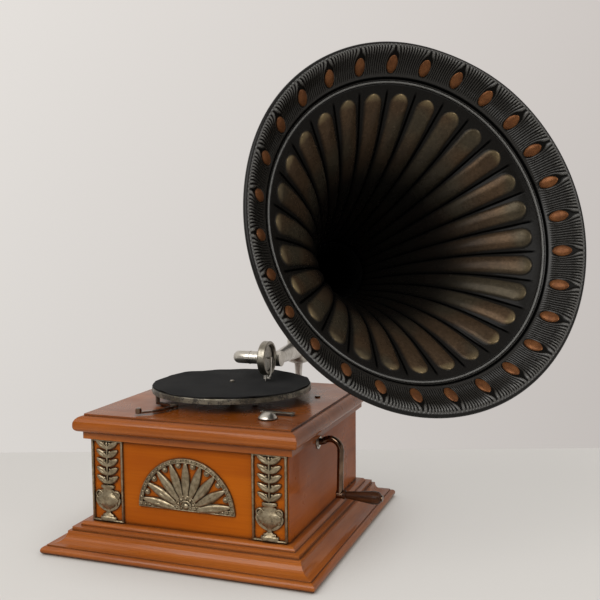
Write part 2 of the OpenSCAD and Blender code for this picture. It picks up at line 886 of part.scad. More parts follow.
// Spindle with its pinion, a collar under the platter and a rounded tip
module spindle() {
    boss_z = platter_z - boss_h;
    color(steel) {
        translate([0, 0, lower_z - thrust_h / 2 + rest_gap])
            cylinder(r = pivot_r + 1, h = thrust_h + plate_t);
        translate([0, 0, lower_top_z + rest_gap])
            cylinder(r = spindle_r, h = felt_z - lower_top_z - rest_gap);
        translate([0, 0, boss_z - collar_h]) cylinder(r = collar_r, h = collar_h);
        translate([0, 0, felt_z - 1]) cylinder(r = tip_r, h = tip_h + 1 - tip_cone);
        translate([0, 0, felt_z + tip_h - tip_cone])
            cylinder(r1 = tip_r, r2 = tip_r - tip_cone, h = tip_cone);
        translate([0, 0, wheel_z - pinion_over]) rotate(inter_dir + 180 / pinion_teeth)
            linear_extrude(wheel_t + 2 * pinion_over) gear(pinion_teeth, wheel_module);
    }
}

// Worm wheel on the spindle, its teeth slanted to suit the worm
module governor_wheel() {
    color(brass) translate([0, 0, gov_z - gov_wheel_t / 2]) difference() {
        rotate(-90 - wheel_twist / 2) linear_extrude(gov_wheel_t, twist = -wheel_twist, slices = 2)
            gear(gov_teeth, 2 * gov_wheel_r / gov_teeth);
        translate([0, 0, -1]) cylinder(r = spindle_r + running_fit, h = gov_wheel_t + 2);
    }
}

module platter() {
    boss_z = platter_z - boss_h;
    in_r = spindle_r + running_fit;
    color(nickel) rotate_extrude() polygon(concat(
        [[in_r, boss_z], [boss_r, boss_z], [boss_r, platter_z - platter_t - 4],
        [boss_r + 12, platter_z - platter_t], [rim_bore, platter_z - platter_t], [rim_bore, rim_z],
        [platter_r, rim_z]],
        arc([platter_r - platter_t, platter_z - platter_t], platter_t, 0, 90, 4),
        [[in_r, platter_z]]));
}

module felt() {
    color(felt_black) translate([0, 0, platter_z]) difference() {
        cylinder(r = platter_r - felt_overhang, h = felt_t);
        translate([0, 0, -1]) cylinder(r = spindle_r + rest_gap, h = felt_t + 2);
    }
}

// Open drum with the great wheel on its underside
module spring_barrel() {
    color(brass) translate([barrel_x, crank_y, 0]) difference() {
        union() {
            translate([0, 0, great_z]) rotate(great_dir) linear_extrude(great_t)
                gear(great_teeth, great_module);
            translate([0, 0, barrel_z]) cylinder(r = barrel_r, h = barrel_h);
        }
        translate([0, 0, barrel_z + barrel_t]) cylinder(r = barrel_r - barrel_t, h = barrel_h);
        translate([0, 0, great_z - 1]) cylinder(r = arbor_r + running_fit, h = barrel_h);
    }
}

module barrel_cover() {
    color(brass) translate([barrel_x, crank_y, barrel_z + barrel_h - cover_t]) difference() {
        cylinder(r = barrel_r - barrel_t - running_fit, h = cover_t);
        translate([0, 0, -1]) cylinder(r = arbor_r + running_fit, h = cover_t + 2);
    }
}

// Flat spiral ribbon between the arbor's core and the drum
module mainspring() {
    steps = 20;
    count = spring_turns * steps;
    turn = [for (i = [0:count]) let (r = spring_in_r + (spring_out_r - spring_in_r) * i / count)
        [r, 360 * i / steps]];
    color(steel) translate([barrel_x, crank_y, barrel_z + barrel_t + spring_edge_gap])
        linear_extrude(barrel_h - barrel_t - cover_t - 2 * spring_edge_gap)
        polygon(concat([for (p = turn) p[0] * [cos(p[1]), sin(p[1])]],
            [for (i = [count:-1:0]) (turn[i][0] + spring_t) * [cos(turn[i][1]), sin(turn[i][1])]]));
}

// Arbor with the spring's core and a crown wheel whose teeth stand up
module winding_arbor() {
    core_z = barrel_z + barrel_t + rest_gap;
    core_h = barrel_h - barrel_t - cover_t - 2 * rest_gap;
    tooth_turn = 360 / crown_teeth;
    color(steel) translate([barrel_x, crank_y, 0]) {
        translate([0, 0, lower_z]) cylinder(r = arbor_pivot_r, h = upper_z - lower_z + plate_t);
        translate([0, 0, lower_top_z + rest_gap]) cylinder(r = arbor_r, h = motor_h - 2 * rest_gap);
        translate([0, 0, core_z]) cylinder(r = arbor_core_r, h = core_h);
        translate([0, 0, crown_z - crown_t]) cylinder(r = crown_r + crown_face / 2, h = crown_t);
        for (i = [0:crown_teeth - 1]) rotate(i * tooth_turn) translate([crown_r, 0, crown_z - 0.5])
            rotate([90, 0, 90]) linear_extrude(crown_face - 1, center = true)
            polygon([[-0.85, 0], [0.85, 0], [0.85, 0.5], [0.4, crown_tooth_h + 0.5],
                [-0.4, crown_tooth_h + 0.5], [-0.85, 0.5]]);
    }
}

module intermediate_arbor() {
    pinion_z = great_z - pinion_over;
    color(steel) translate([inter_at[0], inter_at[1], 0]) {
        translate([0, 0, lower_z]) cylinder(r = pivot_r, h = upper_z - lower_z + plate_t);
        translate([0, 0, lower_top_z + rest_gap]) cylinder(r = inter_r, h = motor_h - 2 * rest_gap);
        translate([0, 0, pinion_z]) rotate(great_dir + 180 + 180 / pinion_teeth)
            linear_extrude(great_t + 2 * pinion_over) gear(pinion_teeth, great_module);
    }
}

// Wheel with five windows between its spokes
module intermediate_wheel() {
    rim_in = wheel_teeth * wheel_module / 2 - 5;
    hub_out = inter_r + 4;
    color(brass) translate([inter_at[0], inter_at[1], wheel_z]) linear_extrude(wheel_t) difference() {
        rotate(inter_dir + 180) gear(wheel_teeth, wheel_module);
        circle(inter_r + running_fit);
        for (i = [0:4]) rotate(72 * i) translate([(rim_in + hub_out) / 2, 0])
            circle((rim_in - hub_out) / 2 - 0.8);
    }
}

// Lying shaft with a four-start worm, a fixed collar and a sliding sleeve
module governor_shaft() {
    worm_turn = 360 * worm_len / worm_lead;
    start = 360 / gov_starts;
    color(steel) translate([0, gov_y, gov_z]) {
        translate([gov_left - post_t, 0, 0]) to_x()
            cylinder(r = gov_pivot_r, h = gov_right - gov_left + 2 * post_t);
        translate([gov_left + rest_gap, 0, 0]) to_x()
            cylinder(r = gov_shaft_r, h = gov_right - gov_left - 2 * rest_gap);
        translate([collar_x, 0, 0]) to_x() cylinder(r = gov_collar_r, h = collar_w);
        translate([gov_sleeve_x, 0, 0]) to_x() cylinder(r = gov_collar_r, h = gov_sleeve_w);
        translate([-worm_len / 2, 0, 0]) to_x() rotate(90 - worm_turn / 2 + start / 2)
            linear_extrude(worm_len, twist = -worm_turn, slices = 20)
            polygon([for (i = [0:gov_starts - 1],
                p = [[worm_r - 1, -28], [worm_r + 0.8, -12], [worm_r + 0.8, 12], [worm_r - 1, 28]])
                p[0] * [cos(i * start + p[1]), sin(i * start + p[1])]]);
    }
}

// Children repeat round the governor's shaft
module round_governor() {
    for (i = [0:weight_count - 1]) translate([0, gov_y, gov_z]) rotate([360 * i / weight_count, 0, 0])
        children();
}

leaf_mid_x = (collar_x + gov_sleeve_x + gov_sleeve_w) / 2;
leaf_half = (gov_sleeve_x + gov_sleeve_w - collar_x) / 2 - 1;
leaf_r = (leaf_half ^ 2 + leaf_bow ^ 2) / (2 * leaf_bow);
leaf_open = asin(leaf_half / leaf_r);
leaf_centre = gov_collar_r + 0.1 + leaf_bow - leaf_r;

module governor_springs() {
    color(steel) round_governor() translate([leaf_mid_x, 0, leaf_centre]) rotate([90, 0, 0])
        linear_extrude(leaf_w, center = true) polygon(concat(
            arc([0, 0], leaf_r + leaf_t, 90 - leaf_open, 90 + leaf_open, 12),
            arc([0, 0], leaf_r, 90 + leaf_open, 90 - leaf_open, 12)));
}

module governor_weights() {
    color(brass) round_governor() translate([leaf_mid_x, 0, leaf_centre + leaf_r + leaf_t])
        cylinder(r = weight_r, h = weight_h);
}

module friction_disc() {
    color(brass) translate([gov_sleeve_x + gov_sleeve_w, gov_y, gov_z]) to_x() difference() {
        cylinder(r = disc_r, h = disc_t);
        translate([0, 0, -1]) cylinder(r = gov_shaft_r + running_fit, h = disc_t + 2);
    }
}

// Round bar that rises from the case, bends over and runs down to the pin that carries the handle
module crank() {
    arm_x = side_x + crank_reach;
    arch_x = arm_x - bend_r - (arch_r + bend_r) * sin(arch_turn);
    bend_z = arch_r - (arch_r + bend_r) * cos(arch_turn);
    inner_x = sleeve_x + sleeve_floor;
    color(iron) translate([0, crank_y, crank_z]) rotate([-arm_lean, 0, 0]) {
        translate([inner_x, 0, 0]) to_x() cylinder(r = shaft_r, h = arch_x - inner_x - weld / 4);
        translate([arch_x - weld / 2, 0, 0]) to_x() cylinder(r = shaft_r + weld_rise, h = weld);
        translate([arch_x, 0, arch_r]) rotate([90, 0, 0]) rotate(-90) rotate_extrude(angle = arch_turn - 1)
            translate([arch_r, 0]) circle(shaft_r);
        translate([arch_x, 0, arch_r]) rotate([0, -arch_turn, 0]) translate([-weld / 2, 0, -arch_r])
            to_x() cylinder(r = shaft_r + weld_rise, h = weld);
        translate([arm_x - bend_r, 0, bend_z]) rotate([90, 0, 0]) rotate_extrude(angle = 90 + arch_turn)
            translate([bend_r, 0]) circle(shaft_r);
        translate([arm_x, 0, bend_z - weld / 2]) cylinder(r = shaft_r + weld_rise, h = weld);
        translate([arm_x, 0, -arm_len]) cylinder(r = shaft_r, h = arm_len + bend_z - weld / 4);
        translate([arm_x - shaft_r, 0, -arm_len]) to_x() cylinder(r = shaft_r + 1, h = 2 * shaft_r);
        translate([arm_x, 0, -arm_len]) to_x()
            cylinder(r = handle_pin_r, h = shaft_r + handle_len + 3 * rest_gap);
        translate([arm_x + shaft_r + handle_len + 2 * rest_gap, 0, -arm_len]) to_x()
            cylinder(r = handle_pin_r + 1.6, h = 1.6);
    }
}

// Shaft from the crank's sleeve to the pinion over the crown wheel
module winding_shaft() {
    color(steel) translate([0, crank_y, crank_z]) difference() {
        union() {
            translate([shaft_end_x, 0, 0]) to_x() cylinder(r = shaft_r, h = sleeve_x - shaft_end_x + 1);
            translate([sleeve_x, 0, 0]) to_x() cylinder(r = sleeve_r, h = sleeve_len);
            translate([barrel_x + crown_r - crown_face / 2, 0, 0]) to_x() rotate(180 / pinion_teeth)
                linear_extrude(crown_face) gear(pinion_teeth, crown_module);
        }
        translate([sleeve_x + sleeve_floor, 0, 0]) to_x()
            cylinder(r = shaft_r + running_fit, h = sleeve_len);
    }
}

// Turned handle: a thin neck that swells to a round end
module crank_handle() {
    arm_x = side_x + crank_reach + shaft_r + rest_gap;
    in_r = handle_pin_r + running_fit;
    swell = handle_r - handle_neck_r;
    taper = [for (i = [0:8]) let (t = i / 8) [handle_neck_r + swell * t ^ 1.3, 5 + (handle_len - 17) * t]];
    color(dark_wood) translate([0, crank_y, crank_z]) rotate([-arm_lean, 0, 0])
        translate([arm_x, 0, -arm_len]) to_x() rotate_extrude() polygon(concat(
            [[in_r, 0], [handle_neck_r + 1, 0], [handle_neck_r + 1, 3.5], [handle_neck_r - 0.6, 4.2]],
            taper,
            arc([handle_r - 8, handle_len - 8], 8, 20, 90, 6),
            [[in_r, handle_len]]));
}

// Bowed arm from the brake's knob to its pivot
module brake_arm() {
    chord = brake_at - brake_knob_at;
    side = [chord[1], -chord[0]] / norm(chord);
    r = ((norm(chord) / 2) ^ 2 + brake_bow ^ 2) / (2 * brake_bow);
    centre = (brake_at + brake_knob_at) / 2 - side * (r - brake_bow);
    a0 = atan2(brake_knob_at[1] - centre[1], brake_knob_at[0] - centre[0]);
    a1 = atan2(brake_at[1] - centre[1], brake_at[0] - centre[0]);
    polygon(concat(arc(centre, r + brake_arm_w / 2, a0, a1, 10),
        arc(centre, r - brake_arm_w / 2, a1, a0, 10)));
}

// Flat lever with an eye on its pivot, an arm to the knob and a tail under the platter
module brake_lever() {
    color(iron) translate([0, 0, top_z + brake_lift]) {
        linear_extrude(lever_t) difference() {
            union() {
                translate(brake_at) circle(brake_eye_r);
                brake_arm();
                translate(brake_knob_at) circle(brake_knob_r);
                bar(brake_at, brake_pad_at, brake_bar_w);
            }
            translate(brake_at) circle(brake_pin_r + running_fit);
        }
        translate([brake_knob_at[0], brake_knob_at[1], 0]) {
            cylinder(r = brake_knob_r, h = lever_t + brake_knob_h - 1);
            translate([0, 0, lever_t + brake_knob_h - 1])
                cylinder(r1 = brake_knob_r, r2 = brake_knob_r - 1, h = 1);
        }
    }
}

module brake_pad() {
    color(leather) rotate(brake_pad_dir)
        translate([pad_face_r - brake_pad_t, -brake_pad_w / 2, top_z + brake_lift + lever_t])
        cube([brake_pad_t, brake_pad_w, brake_pad_h]);
}

// Domed knob with a pointer, on a spindle whose arm carries the governor's pad
module speed_knob() {
    dome_sphere = (dome_r ^ 2 + dome_h ^ 2) / (2 * dome_h);
    pointer_len = scale_y - knob_y - scale_w / 2 - 2;
    arm_tip = [pad_x + pad_t + arm_bar_w / 2 - knob_x, pad_y - knob_y];
    color(nickel) translate([knob_x, knob_y, 0]) {
        translate([0, 0, gov_z - arm_bar_t / 2]) cylinder(r = regulator_r, h = top_z - gov_z + dome_lift + 3);
        translate([0, 0, top_z + dome_lift + 1 + dome_h - dome_sphere]) intersection() {
            sphere(dome_sphere);
            translate([0, 0, dome_sphere - dome_h]) cylinder(r = dome_r, h = dome_h);
        }
        translate([0, 0, top_z + dome_lift]) linear_extrude(1.2) {
            circle(dome_r);
            bar([0, 0], [0, pointer_len + 4], 4);
        }
        translate([0, 0, gov_z - arm_bar_t / 2]) linear_extrude(arm_bar_t) {
            circle(regulator_r + 3);
            bar([0, 0], arm_tip, arm_bar_w);
        }
    }
}

module regulator_pad() {
    color(leather) translate([pad_x, pad_y, gov_z]) to_x() cylinder(r = pad_r, h = pad_t);
}

// Tapered tube from the knuckle to the hub that turns on the pillar
module tonearm() {
    run = arm_end - arm_at;
    bore_r = neck_r + running_fit;
    color(nickel) difference() {
        union() {
            translate([knuckle_x, knuckle_y, knuckle_z]) to_x() cylinder(r = knuckle_r, h = knuckle_len);
            translate(arm_at) along(run) cylinder(r1 = arm_r1, r2 = arm_r2, h = norm(run));
            translate([pivot_x, pivot_y, hub_z + rest_gap]) cylinder(r = hub_r, h = hub_h - rest_gap);
        }
        translate([knuckle_x - 8, knuckle_y, knuckle_z]) to_x() cylinder(r = bore_r, h = spigot_len + 8.5);
        translate(arm_at) along(run)
            cylinder(r1 = arm_r1 - tube_t - 2, r2 = arm_r2 - tube_t, h = norm(run));
        translate([pivot_x, pivot_y, hub_z - 1]) cylinder(r = pillar_r + running_fit, h = hub_h + 2);
    }
}

// Frame of the gooseneck: X along the knuckle, the near leg at minus Y
module neck_frame() {
    translate([0, knuckle_y, knuckle_z]) rotate([-neck_tilt, 0, 0]) children();
}

module near_leg_at(x) {
    neck_frame() translate([x, -neck_pitch, 0]) children();
}

// U-shaped tube: the far leg turns in the knuckle, the near leg holds the soundbox
module gooseneck() {
    bore = neck_r - tube_t;
    color(nickel) neck_frame() difference() {
        union() {
            translate([neck_bend_x, 0, 0]) to_x() cylinder(r = neck_r, h = neck_far_x - neck_bend_x);
            translate([neck_bend_x, -neck_pitch, 0]) to_x()
                cylinder(r = neck_r, h = box_x - socket_len - neck_bend_x);
            translate([neck_bend_x, -neck_pitch / 2, 0]) rotate(90) rotate_extrude(angle = 180)
                translate([neck_pitch / 2, 0]) circle(neck_r);
            translate([seam_x, -neck_pitch, 0]) to_x() cylinder(r = neck_r + 0.5, h = 1.6);
        }
        translate([neck_bend_x, 0, 0]) to_x() cylinder(r = bore, h = neck_far_x);
        translate([neck_bend_x, -neck_pitch, 0]) to_x() cylinder(r = bore, h = box_x);
        translate([neck_bend_x, -neck_pitch / 2, 0]) rotate(90) rotate_extrude(angle = 180)
            translate([neck_pitch / 2, 0]) circle(bore);
    }
}

// Back shell with its socket on the gooseneck, hollow towards the diaphragm
module soundbox_shell() {
    bore = neck_r - tube_t;
    color(nickel) near_leg_at(box_x) to_x() rotate_extrude() polygon(concat(
        [[bore, -socket_len], [socket_r, -socket_len], [socket_r, 0]],
        arc([box_r - 3, 3], 3, -90, 0, 5),
        [[box_r, shell_w], [gasket_out_r, shell_w], [gasket_out_r, shell_w - 1.6],
        [gasket_in_r, shell_w - 1.6], [gasket_in_r, shell_w - 3], [bore, 2.4]]));
}

module soundbox_ring() {
    lip_z = 2 * gasket_t + diaphragm_t - 1.6;
    color(nickel) near_leg_at(box_front_x) to_x() rotate_extrude() polygon(concat(
        [[gasket_out_r + 0.1, 0], [box_r, 0]],
        arc([box_r - 1.5, ring_w - 1.5], 1.5, 0, 90, 4),
        [[ring_bore + 2, ring_w], [ring_bore, ring_w - 2], [ring_bore, lip_z],
        [gasket_out_r + 0.1, lip_z]]));
}

// Two rubber rings, one on each side of the diaphragm
module soundbox_gaskets() {
    color(rubber_black) for (x = [0, gasket_t + diaphragm_t])
        near_leg_at(box_front_x - 1.6 + x) to_x() difference() {
            cylinder(r = gasket_out_r - 0.1, h = gasket_t);
            translate([0, 0, -1]) cylinder(r = gasket_in_r, h = gasket_t + 2);
        }
}

module diaphragm() {
    color(mica) near_leg_at(box_front_x - 1.6 + gasket_t) to_x()
        cylinder(r = gasket_out_r - 0.5, h = diaphragm_t);
}

// Chuck below the soundbox, with a bent bar up to the diaphragm's centre
module needle_bar() {
    face_x = box_front_x - 1.6 + gasket_t + diaphragm_t;
    bar_x = box_front_x + ring_w + 0.6;
    color(steel) near_leg_at(0) difference() {
        union() {
            translate([chuck_x, 0, -chuck_top - chuck_h]) cylinder(r = chuck_r, h = chuck_h);
            translate([chuck_x, -bar_w / 2, -chuck_top - bar_foot])
                cube([bar_x + bar_t - chuck_x, bar_w, bar_foot]);
            translate([bar_x, -bar_w / 2, -chuck_top - bar_foot])
                cube([bar_t, bar_w, chuck_top + bar_foot + 2]);
            translate([face_x, 0, 0]) to_x() cylinder(r = 1.2, h = bar_x - face_x + 0.5);
        }
        translate([chuck_x, 0, -chuck_top - chuck_h - 1])
            cylinder(r = needle_r + running_fit, h = needle_grip + 1);
        translate([chuck_x + 0.5, 0, -chuck_top - screw_drop]) to_x()
            cylinder(r = thumb_stem_r + running_fit, h = chuck_r);
    }
}

// Steel needle that tapers to a point just above the felt
module needle() {
    cone_h = 2.5;
    top = -chuck_top - chuck_h + needle_grip;
    color(nickel) near_leg_at(chuck_x) {
        translate([0, 0, cone_h - tip_down]) cylinder(r = needle_r, h = top + tip_down - cone_h);
        translate([0, 0, -tip_down]) cylinder(r1 = 0.1, r2 = needle_r, h = cone_h);
    }
}

module needle_screw() {
    color(nickel) near_leg_at(chuck_x) translate([0, 0, -chuck_top - screw_drop]) to_x() {
        translate([0, 0, needle_r + rest_gap]) cylinder(r = thumb_stem_r, h = chuck_r + 1);
        translate([0, 0, chuck_r + rest_gap]) cylinder(r = thumb_r, h = thumb_h, $fn = 10);
    }
}

// Frame of the horn: origin at the pivot, X the way the horn faces
module horn_frame() {
    translate([pivot_x, pivot_y, 0]) rotate(horn_yaw - 90) children();
}

// Frame of the bell: origin at the mouth's centre, Z out of the mouth
module bell_frame() {
    horn_frame() translate([mouth_at[0], 0, mouth_at[1]]) rotate([0, bend, 0]) rotate(horn_turn) children();
}

// Pipe over the pillar that bends towards the bell
module horn_elbow() {
    foot_z = hub_z + hub_h + rest_gap;
    color(black_paint) horn_frame() difference() {
        union() {
            translate([0, 0, foot_z]) cylinder(r = pipe_r, h = elbow_z - foot_z - 1);
            translate([0, 0, elbow_z - 3]) cylinder(r = pipe_r + 1, h = 4);
            translate([elbow_r, 0, elbow_z]) rotate([90, 0, 0]) rotate(180 - bend)
                rotate_extrude(angle = bend) translate([elbow_r, 0]) circle(pipe_r);
        }
        translate([0, 0, foot_z - 1])
            cylinder(r = pillar_r + running_fit, h = pillar_z - foot_z + 1 + running_fit);
        translate([0, 0, foot_z]) cylinder(r = pillar_r - pillar_t, h = elbow_z - foot_z - 1);
        translate([0, 0, pillar_z + elbow_seat])
            cylinder(r = throat_r - 0.3, h = elbow_z - pillar_z - elbow_seat + 2);
        translate([elbow_r, 0, elbow_z]) rotate([90, 0, 0]) rotate(179 - bend)
            rotate_extrude(angle = bend + 1) translate([elbow_r, 0]) circle(throat_r);
    }
}

// Clamping ring over the joint of elbow and neck
module horn_ferrule() {
    half = ferrule_len / 2;
    out = pipe_r + running_fit;
    clear_r = horn_r(horn_len - half) + pipe_t + 0.3;
    color(black_paint) bell_frame() translate([0, 0, -horn_len]) rotate_extrude()
        polygon([[out + 1, -half + 4], [out + ferrule_t, -half + 4], [out + ferrule_t + 1.5, 0],
            [clear_r + ferrule_t, half], [clear_r, half], [out, 0.5], [out, -0.5]]);
}

module horn_neck() {
    steps = 12;
    depth = [for (i = [0:steps]) neck_s + seam_gap + (horn_len - neck_s - 2 * seam_gap) * i / steps];
    color(black_paint) bell_frame() rotate_extrude() polygon(concat(
        [for (s = depth) [horn_r(s), -s]],
        [for (i = [steps:-1:0]) [horn_r(depth[i]) + pipe_t, -depth[i]]]));
}

// Height of a flute above the plain bell; u runs from -0.5 to 0.5 across one flute
function flute_rise(s, u) =
    let (t = min(1, max(0, (s - flute_s) / flute_round)),
        close = sqrt(max(0, 1 - (1 - t) ^ 2)),
        fade = min(1, (neck_s - s) / 60),
        share = flute_share * max(close, 0.02))
    flute_h * close * fade * (horn_r(s) / horn_r(flute_s)) ^ 0.7 * sqrt(max(0, 1 - (u / share) ^ 2));

// A point of the pressed sheet, lifted from the plain bell along its normal
function bell_point(s, k, lift) =
    let (u = (k % flute_steps) / flute_steps - 0.5,
        slope = horn_slope(s),
        rise = flute_rise(s, u) + lift,
        n = [-1, -slope] / norm([1, slope]),
        r = min(horn_r(s) + rise * n[0], seam_r - seam_gap),
        a = 360 * k / (flute_count * flute_steps))
    [r * cos(a), r * sin(a), -s + rise * n[1]];

// Fluted sheet between two depths: two skins of the same pressed form, closed at both edges
module fluted_sheet(s0, s1, rings, crowd) {
    around = flute_count * flute_steps;
    skin = (rings + 1) * around;
    points = [for (lift = [0, -sheet_t], i = [0:rings], k = [0:around - 1])
        bell_point(s0 + (s1 - s0) * (i / rings) ^ crowd, k, lift)];
    inner = [for (i = [0:rings - 1], k = [0:around - 1])
        let (a = i * around + k, b = i * around + (k + 1) % around)
        each [[a, b, a + around], [b, b + around, a + around]]];
    outer = [for (f = inner) [f[0] + skin, f[2] + skin, f[1] + skin]];
    last = rings * around;
    edges = [for (k = [0:around - 1]) let (n = (k + 1) % around)
        each [[k, k + skin, n], [n, k + skin, n + skin],
            [last + k, last + n, last + k + skin], [last + n, last + n + skin, last + k + skin]]];
    color(black_paint) bell_frame() polyhedron(points, concat(inner, outer, edges), convexity = 10);
}

// Outer part of the bell, with the round ends of the flutes
module horn_bell() {
    fluted_sheet(seam_s + seam_gap, throat_s - seam_gap, bell_rings, bell_crowd);
}

// Inner part of the bell, down to the neck
module horn_throat() {
    fluted_sheet(throat_s + seam_gap, neck_s - seam_gap, throat_rings, 1);
}

// Bulged flange with a bead at the seam and a rolled edge
module horn_flange() {
    t = sheet_t / cos(cone_tilt);
    front = [for (i = [0:flange_steps]) flange_at(i / flange_steps)];
    color(black_paint) bell_frame() union() {
        rotate_extrude() polygon(concat(front, [for (i = [flange_steps:-1:0]) front[i] - [0, t]]));
        rotate_extrude() translate([cone_r, -roll_r]) circle(roll_r);
        rotate_extrude() translate([seam_r + bead_r, -seam_s + bead_r * 0.6]) circle(bead_r);
    }
}

// Domed almond-shaped bosses round the flange
module horn_ovals() {
    half_len = oval_len / 2;
    half_w = oval_w / 2;
    dome = oval_h - oval_edge;
    rim = (half_len ^ 2 + half_w ^ 2) / (2 * half_w);
    long_r = (half_len ^ 2 + dome ^ 2) / (2 * dome);
    wide_r = (half_w ^ 2 + dome ^ 2) / (2 * dome);
    at = flange_at(oval_place);
    tilt = atan(flange_slope(oval_place));
    color(copper) bell_frame() for (i = [0:flute_count - 1]) rotate(360 * i / flute_count)
        translate([at[0], 0, at[1]]) rotate([0, -tilt, 0]) translate([0, 0, oval_lift]) intersection() {
            translate([0, rim - half_w, 0]) cylinder(r = rim, h = oval_h);
            translate([0, half_w - rim, 0]) cylinder(r = rim, h = oval_h);
            translate([0, 0, oval_h - long_r]) rotate([90, 0, 0])
                cylinder(r = long_r, h = oval_w + 2, center = true, $fn = 240);
            translate([0, 0, oval_h - wide_r]) rotate([0, 90, 0])
                cylinder(r = wide_r, h = oval_len + 2, center = true, $fn = 240);
        }
}

base_moulding();
case_front();
case_back();
case_left();
case_right();
bottom_board();
cornice_moulding();
top_board();
left_panel();
right_panel();
lunette_panel();
crank_escutcheon();
motor_top_plate();
motor_bottom_plate();
motor_pillars();
motor_screws();
governor_bearings();
thrust_bearing();
shaft_hangers();
horn_bracket();
bracket_screws();
speed_scale();
brake_pivot();
spindle();
governor_wheel();
platter();
felt();
spring_barrel();
barrel_cover();
mainspring();
winding_arbor();
intermediate_arbor();
intermediate_wheel();
governor_shaft();
governor_weights();
governor_springs();
friction_disc();
crank();
winding_shaft();
crank_handle();
brake_lever();
brake_pad();
speed_knob();
regulator_pad();
tonearm();
gooseneck();
soundbox_shell();
soundbox_ring();
soundbox_gaskets();
diaphragm();
needle_bar();
needle();
needle_screw();
horn_elbow();
horn_ferrule();
horn_neck();
horn_throat();
horn_bell();
horn_flange();
horn_ovals();
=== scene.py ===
# %% [markdown]
# # Dressing a horn gramophone
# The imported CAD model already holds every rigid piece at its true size. This lesson loads it as a fixed
# frame, sets up the camera and the light, gives each piece its finish, and models the pieces whose form is
# finer than the CAD solids: the fluted bell, the patterned flange, the copper ovals, the curled felt and the
# raised ornament on the front.

import math

import bmesh
import bpy
from mathutils import Matrix, Vector, noise


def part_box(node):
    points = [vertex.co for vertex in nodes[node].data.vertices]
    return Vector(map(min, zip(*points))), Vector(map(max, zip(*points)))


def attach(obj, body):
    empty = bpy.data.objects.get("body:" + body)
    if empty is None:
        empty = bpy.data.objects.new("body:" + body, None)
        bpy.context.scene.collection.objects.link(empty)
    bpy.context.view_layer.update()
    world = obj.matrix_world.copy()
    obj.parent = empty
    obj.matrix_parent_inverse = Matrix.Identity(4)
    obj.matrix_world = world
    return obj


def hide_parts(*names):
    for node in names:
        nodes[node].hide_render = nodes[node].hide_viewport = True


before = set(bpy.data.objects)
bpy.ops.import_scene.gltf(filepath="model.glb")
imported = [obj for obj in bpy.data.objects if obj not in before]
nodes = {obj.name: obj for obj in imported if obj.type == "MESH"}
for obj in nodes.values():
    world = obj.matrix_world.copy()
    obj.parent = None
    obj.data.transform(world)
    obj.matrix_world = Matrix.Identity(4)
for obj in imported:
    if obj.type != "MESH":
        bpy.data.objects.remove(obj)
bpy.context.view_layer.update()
scene = bpy.context.scene
scene.view_settings.view_transform = "Standard"
MM = 0.001

# %% [markdown]
# ## Camera
# The case's corners, the platter's ellipse and the rings of the horn fix where the photographer stood: in
# front, a little to the right, and slightly above the turntable. A camera can be turned with angles or with a
# matrix. The matrix is built here from the three directions right, up and backwards, because the small roll
# of the photograph is then one simple mix of two of them.

# %% Place the camera
CAMERA_AT, LENS, SENSOR = (0.5687, -1.2397, 0.4795), 52.2, 36
azimuth, elevation, roll = (math.radians(v) for v in (20.08, 5.12, -0.457))
flat_run = math.cos(elevation)
ahead = Vector((-math.sin(azimuth) * flat_run, math.cos(azimuth) * flat_run, -math.sin(elevation)))
level = Vector((math.cos(azimuth), math.sin(azimuth), 0))
above = level.cross(ahead)
cam_right = level * math.cos(roll) + above * math.sin(roll)
cam_up = above * math.cos(roll) - level * math.sin(roll)
camera = bpy.data.objects.new("photo_camera", bpy.data.cameras.new("photo_camera"))
camera.data.lens = LENS
camera.data.sensor_width = SENSOR
camera.data.clip_end = 40
axes = Matrix((cam_right, cam_up, -ahead)).transposed().to_4x4()
camera.matrix_world = Matrix.Translation(CAMERA_AT) @ axes
scene.collection.objects.link(camera)
scene.camera = camera
print("camera at", tuple(round(v, 3) for v in camera.matrix_world.translation))

# %% [markdown]
# ## Small helpers for materials
# A material is a tree of nodes. Short helpers keep the cells below readable. The first ones add a node and fill
# its sockets with numbers or with other nodes' outputs. The others build on them: arithmetic, smooth and even
# steps, noise, weighted sums and bumps.


# %% Node helpers
def new_finish(name):
    """An empty material and its node tree, with the Principled shader already joined to the output."""
    finish = bpy.data.materials.new(name)
    finish.use_nodes = True
    return finish, finish.node_tree, finish.node_tree.nodes["Principled BSDF"]


def wire(tree, node, inputs):
    """Fills sockets of a node with numbers, colours or other nodes' outputs."""
    for key, value in inputs.items():
        if isinstance(value, bpy.types.NodeSocket):
            tree.links.new(value, node.inputs[key])
        else:
            node.inputs[key].default_value = value


def put(tree, kind, inputs=None, out=0, **settings):
    """Adds a node, fills its sockets and returns one of its outputs."""
    node = tree.nodes.new("ShaderNode" + kind)
    for key, value in settings.items():
        setattr(node, key, value)
    wire(tree, node, inputs or {})
    return node.outputs[out]


def calc(tree, operation, a, b=0.0):
    return put(tree, "Math", {0: a, 1: b}, operation=operation)


def times(tree, a, b):
    return calc(tree, "MULTIPLY", a, b)


def weigh(tree, *shares):
    """Adds several values, each times its weight."""
    total, *others = [times(tree, value, weight) for value, weight in shares]
    for other in others:
        total = calc(tree, "ADD", total, other)
    return total


def mix(tree, share, a, b):
    """Mixes two colours by a share from 0 to 1."""
    return put(tree, "Mix", {0: share, 6: a, 7: b}, out=2, data_type="RGBA")


def between(tree, value, low, high):
    """0 below low, 1 above high and a smooth step in between."""
    return put(tree, "MapRange", {0: value, 1: low, 2: high}, interpolation_type="SMOOTHSTEP")


def spread(tree, value, low, high, start=0.3, stop=0.7):
    """Maps start to stop evenly onto low to high. Most of a noise lies between 0.3 and 0.7."""
    return put(tree, "MapRange", {0: value, 1: start, 2: stop, 3: low, 4: high})


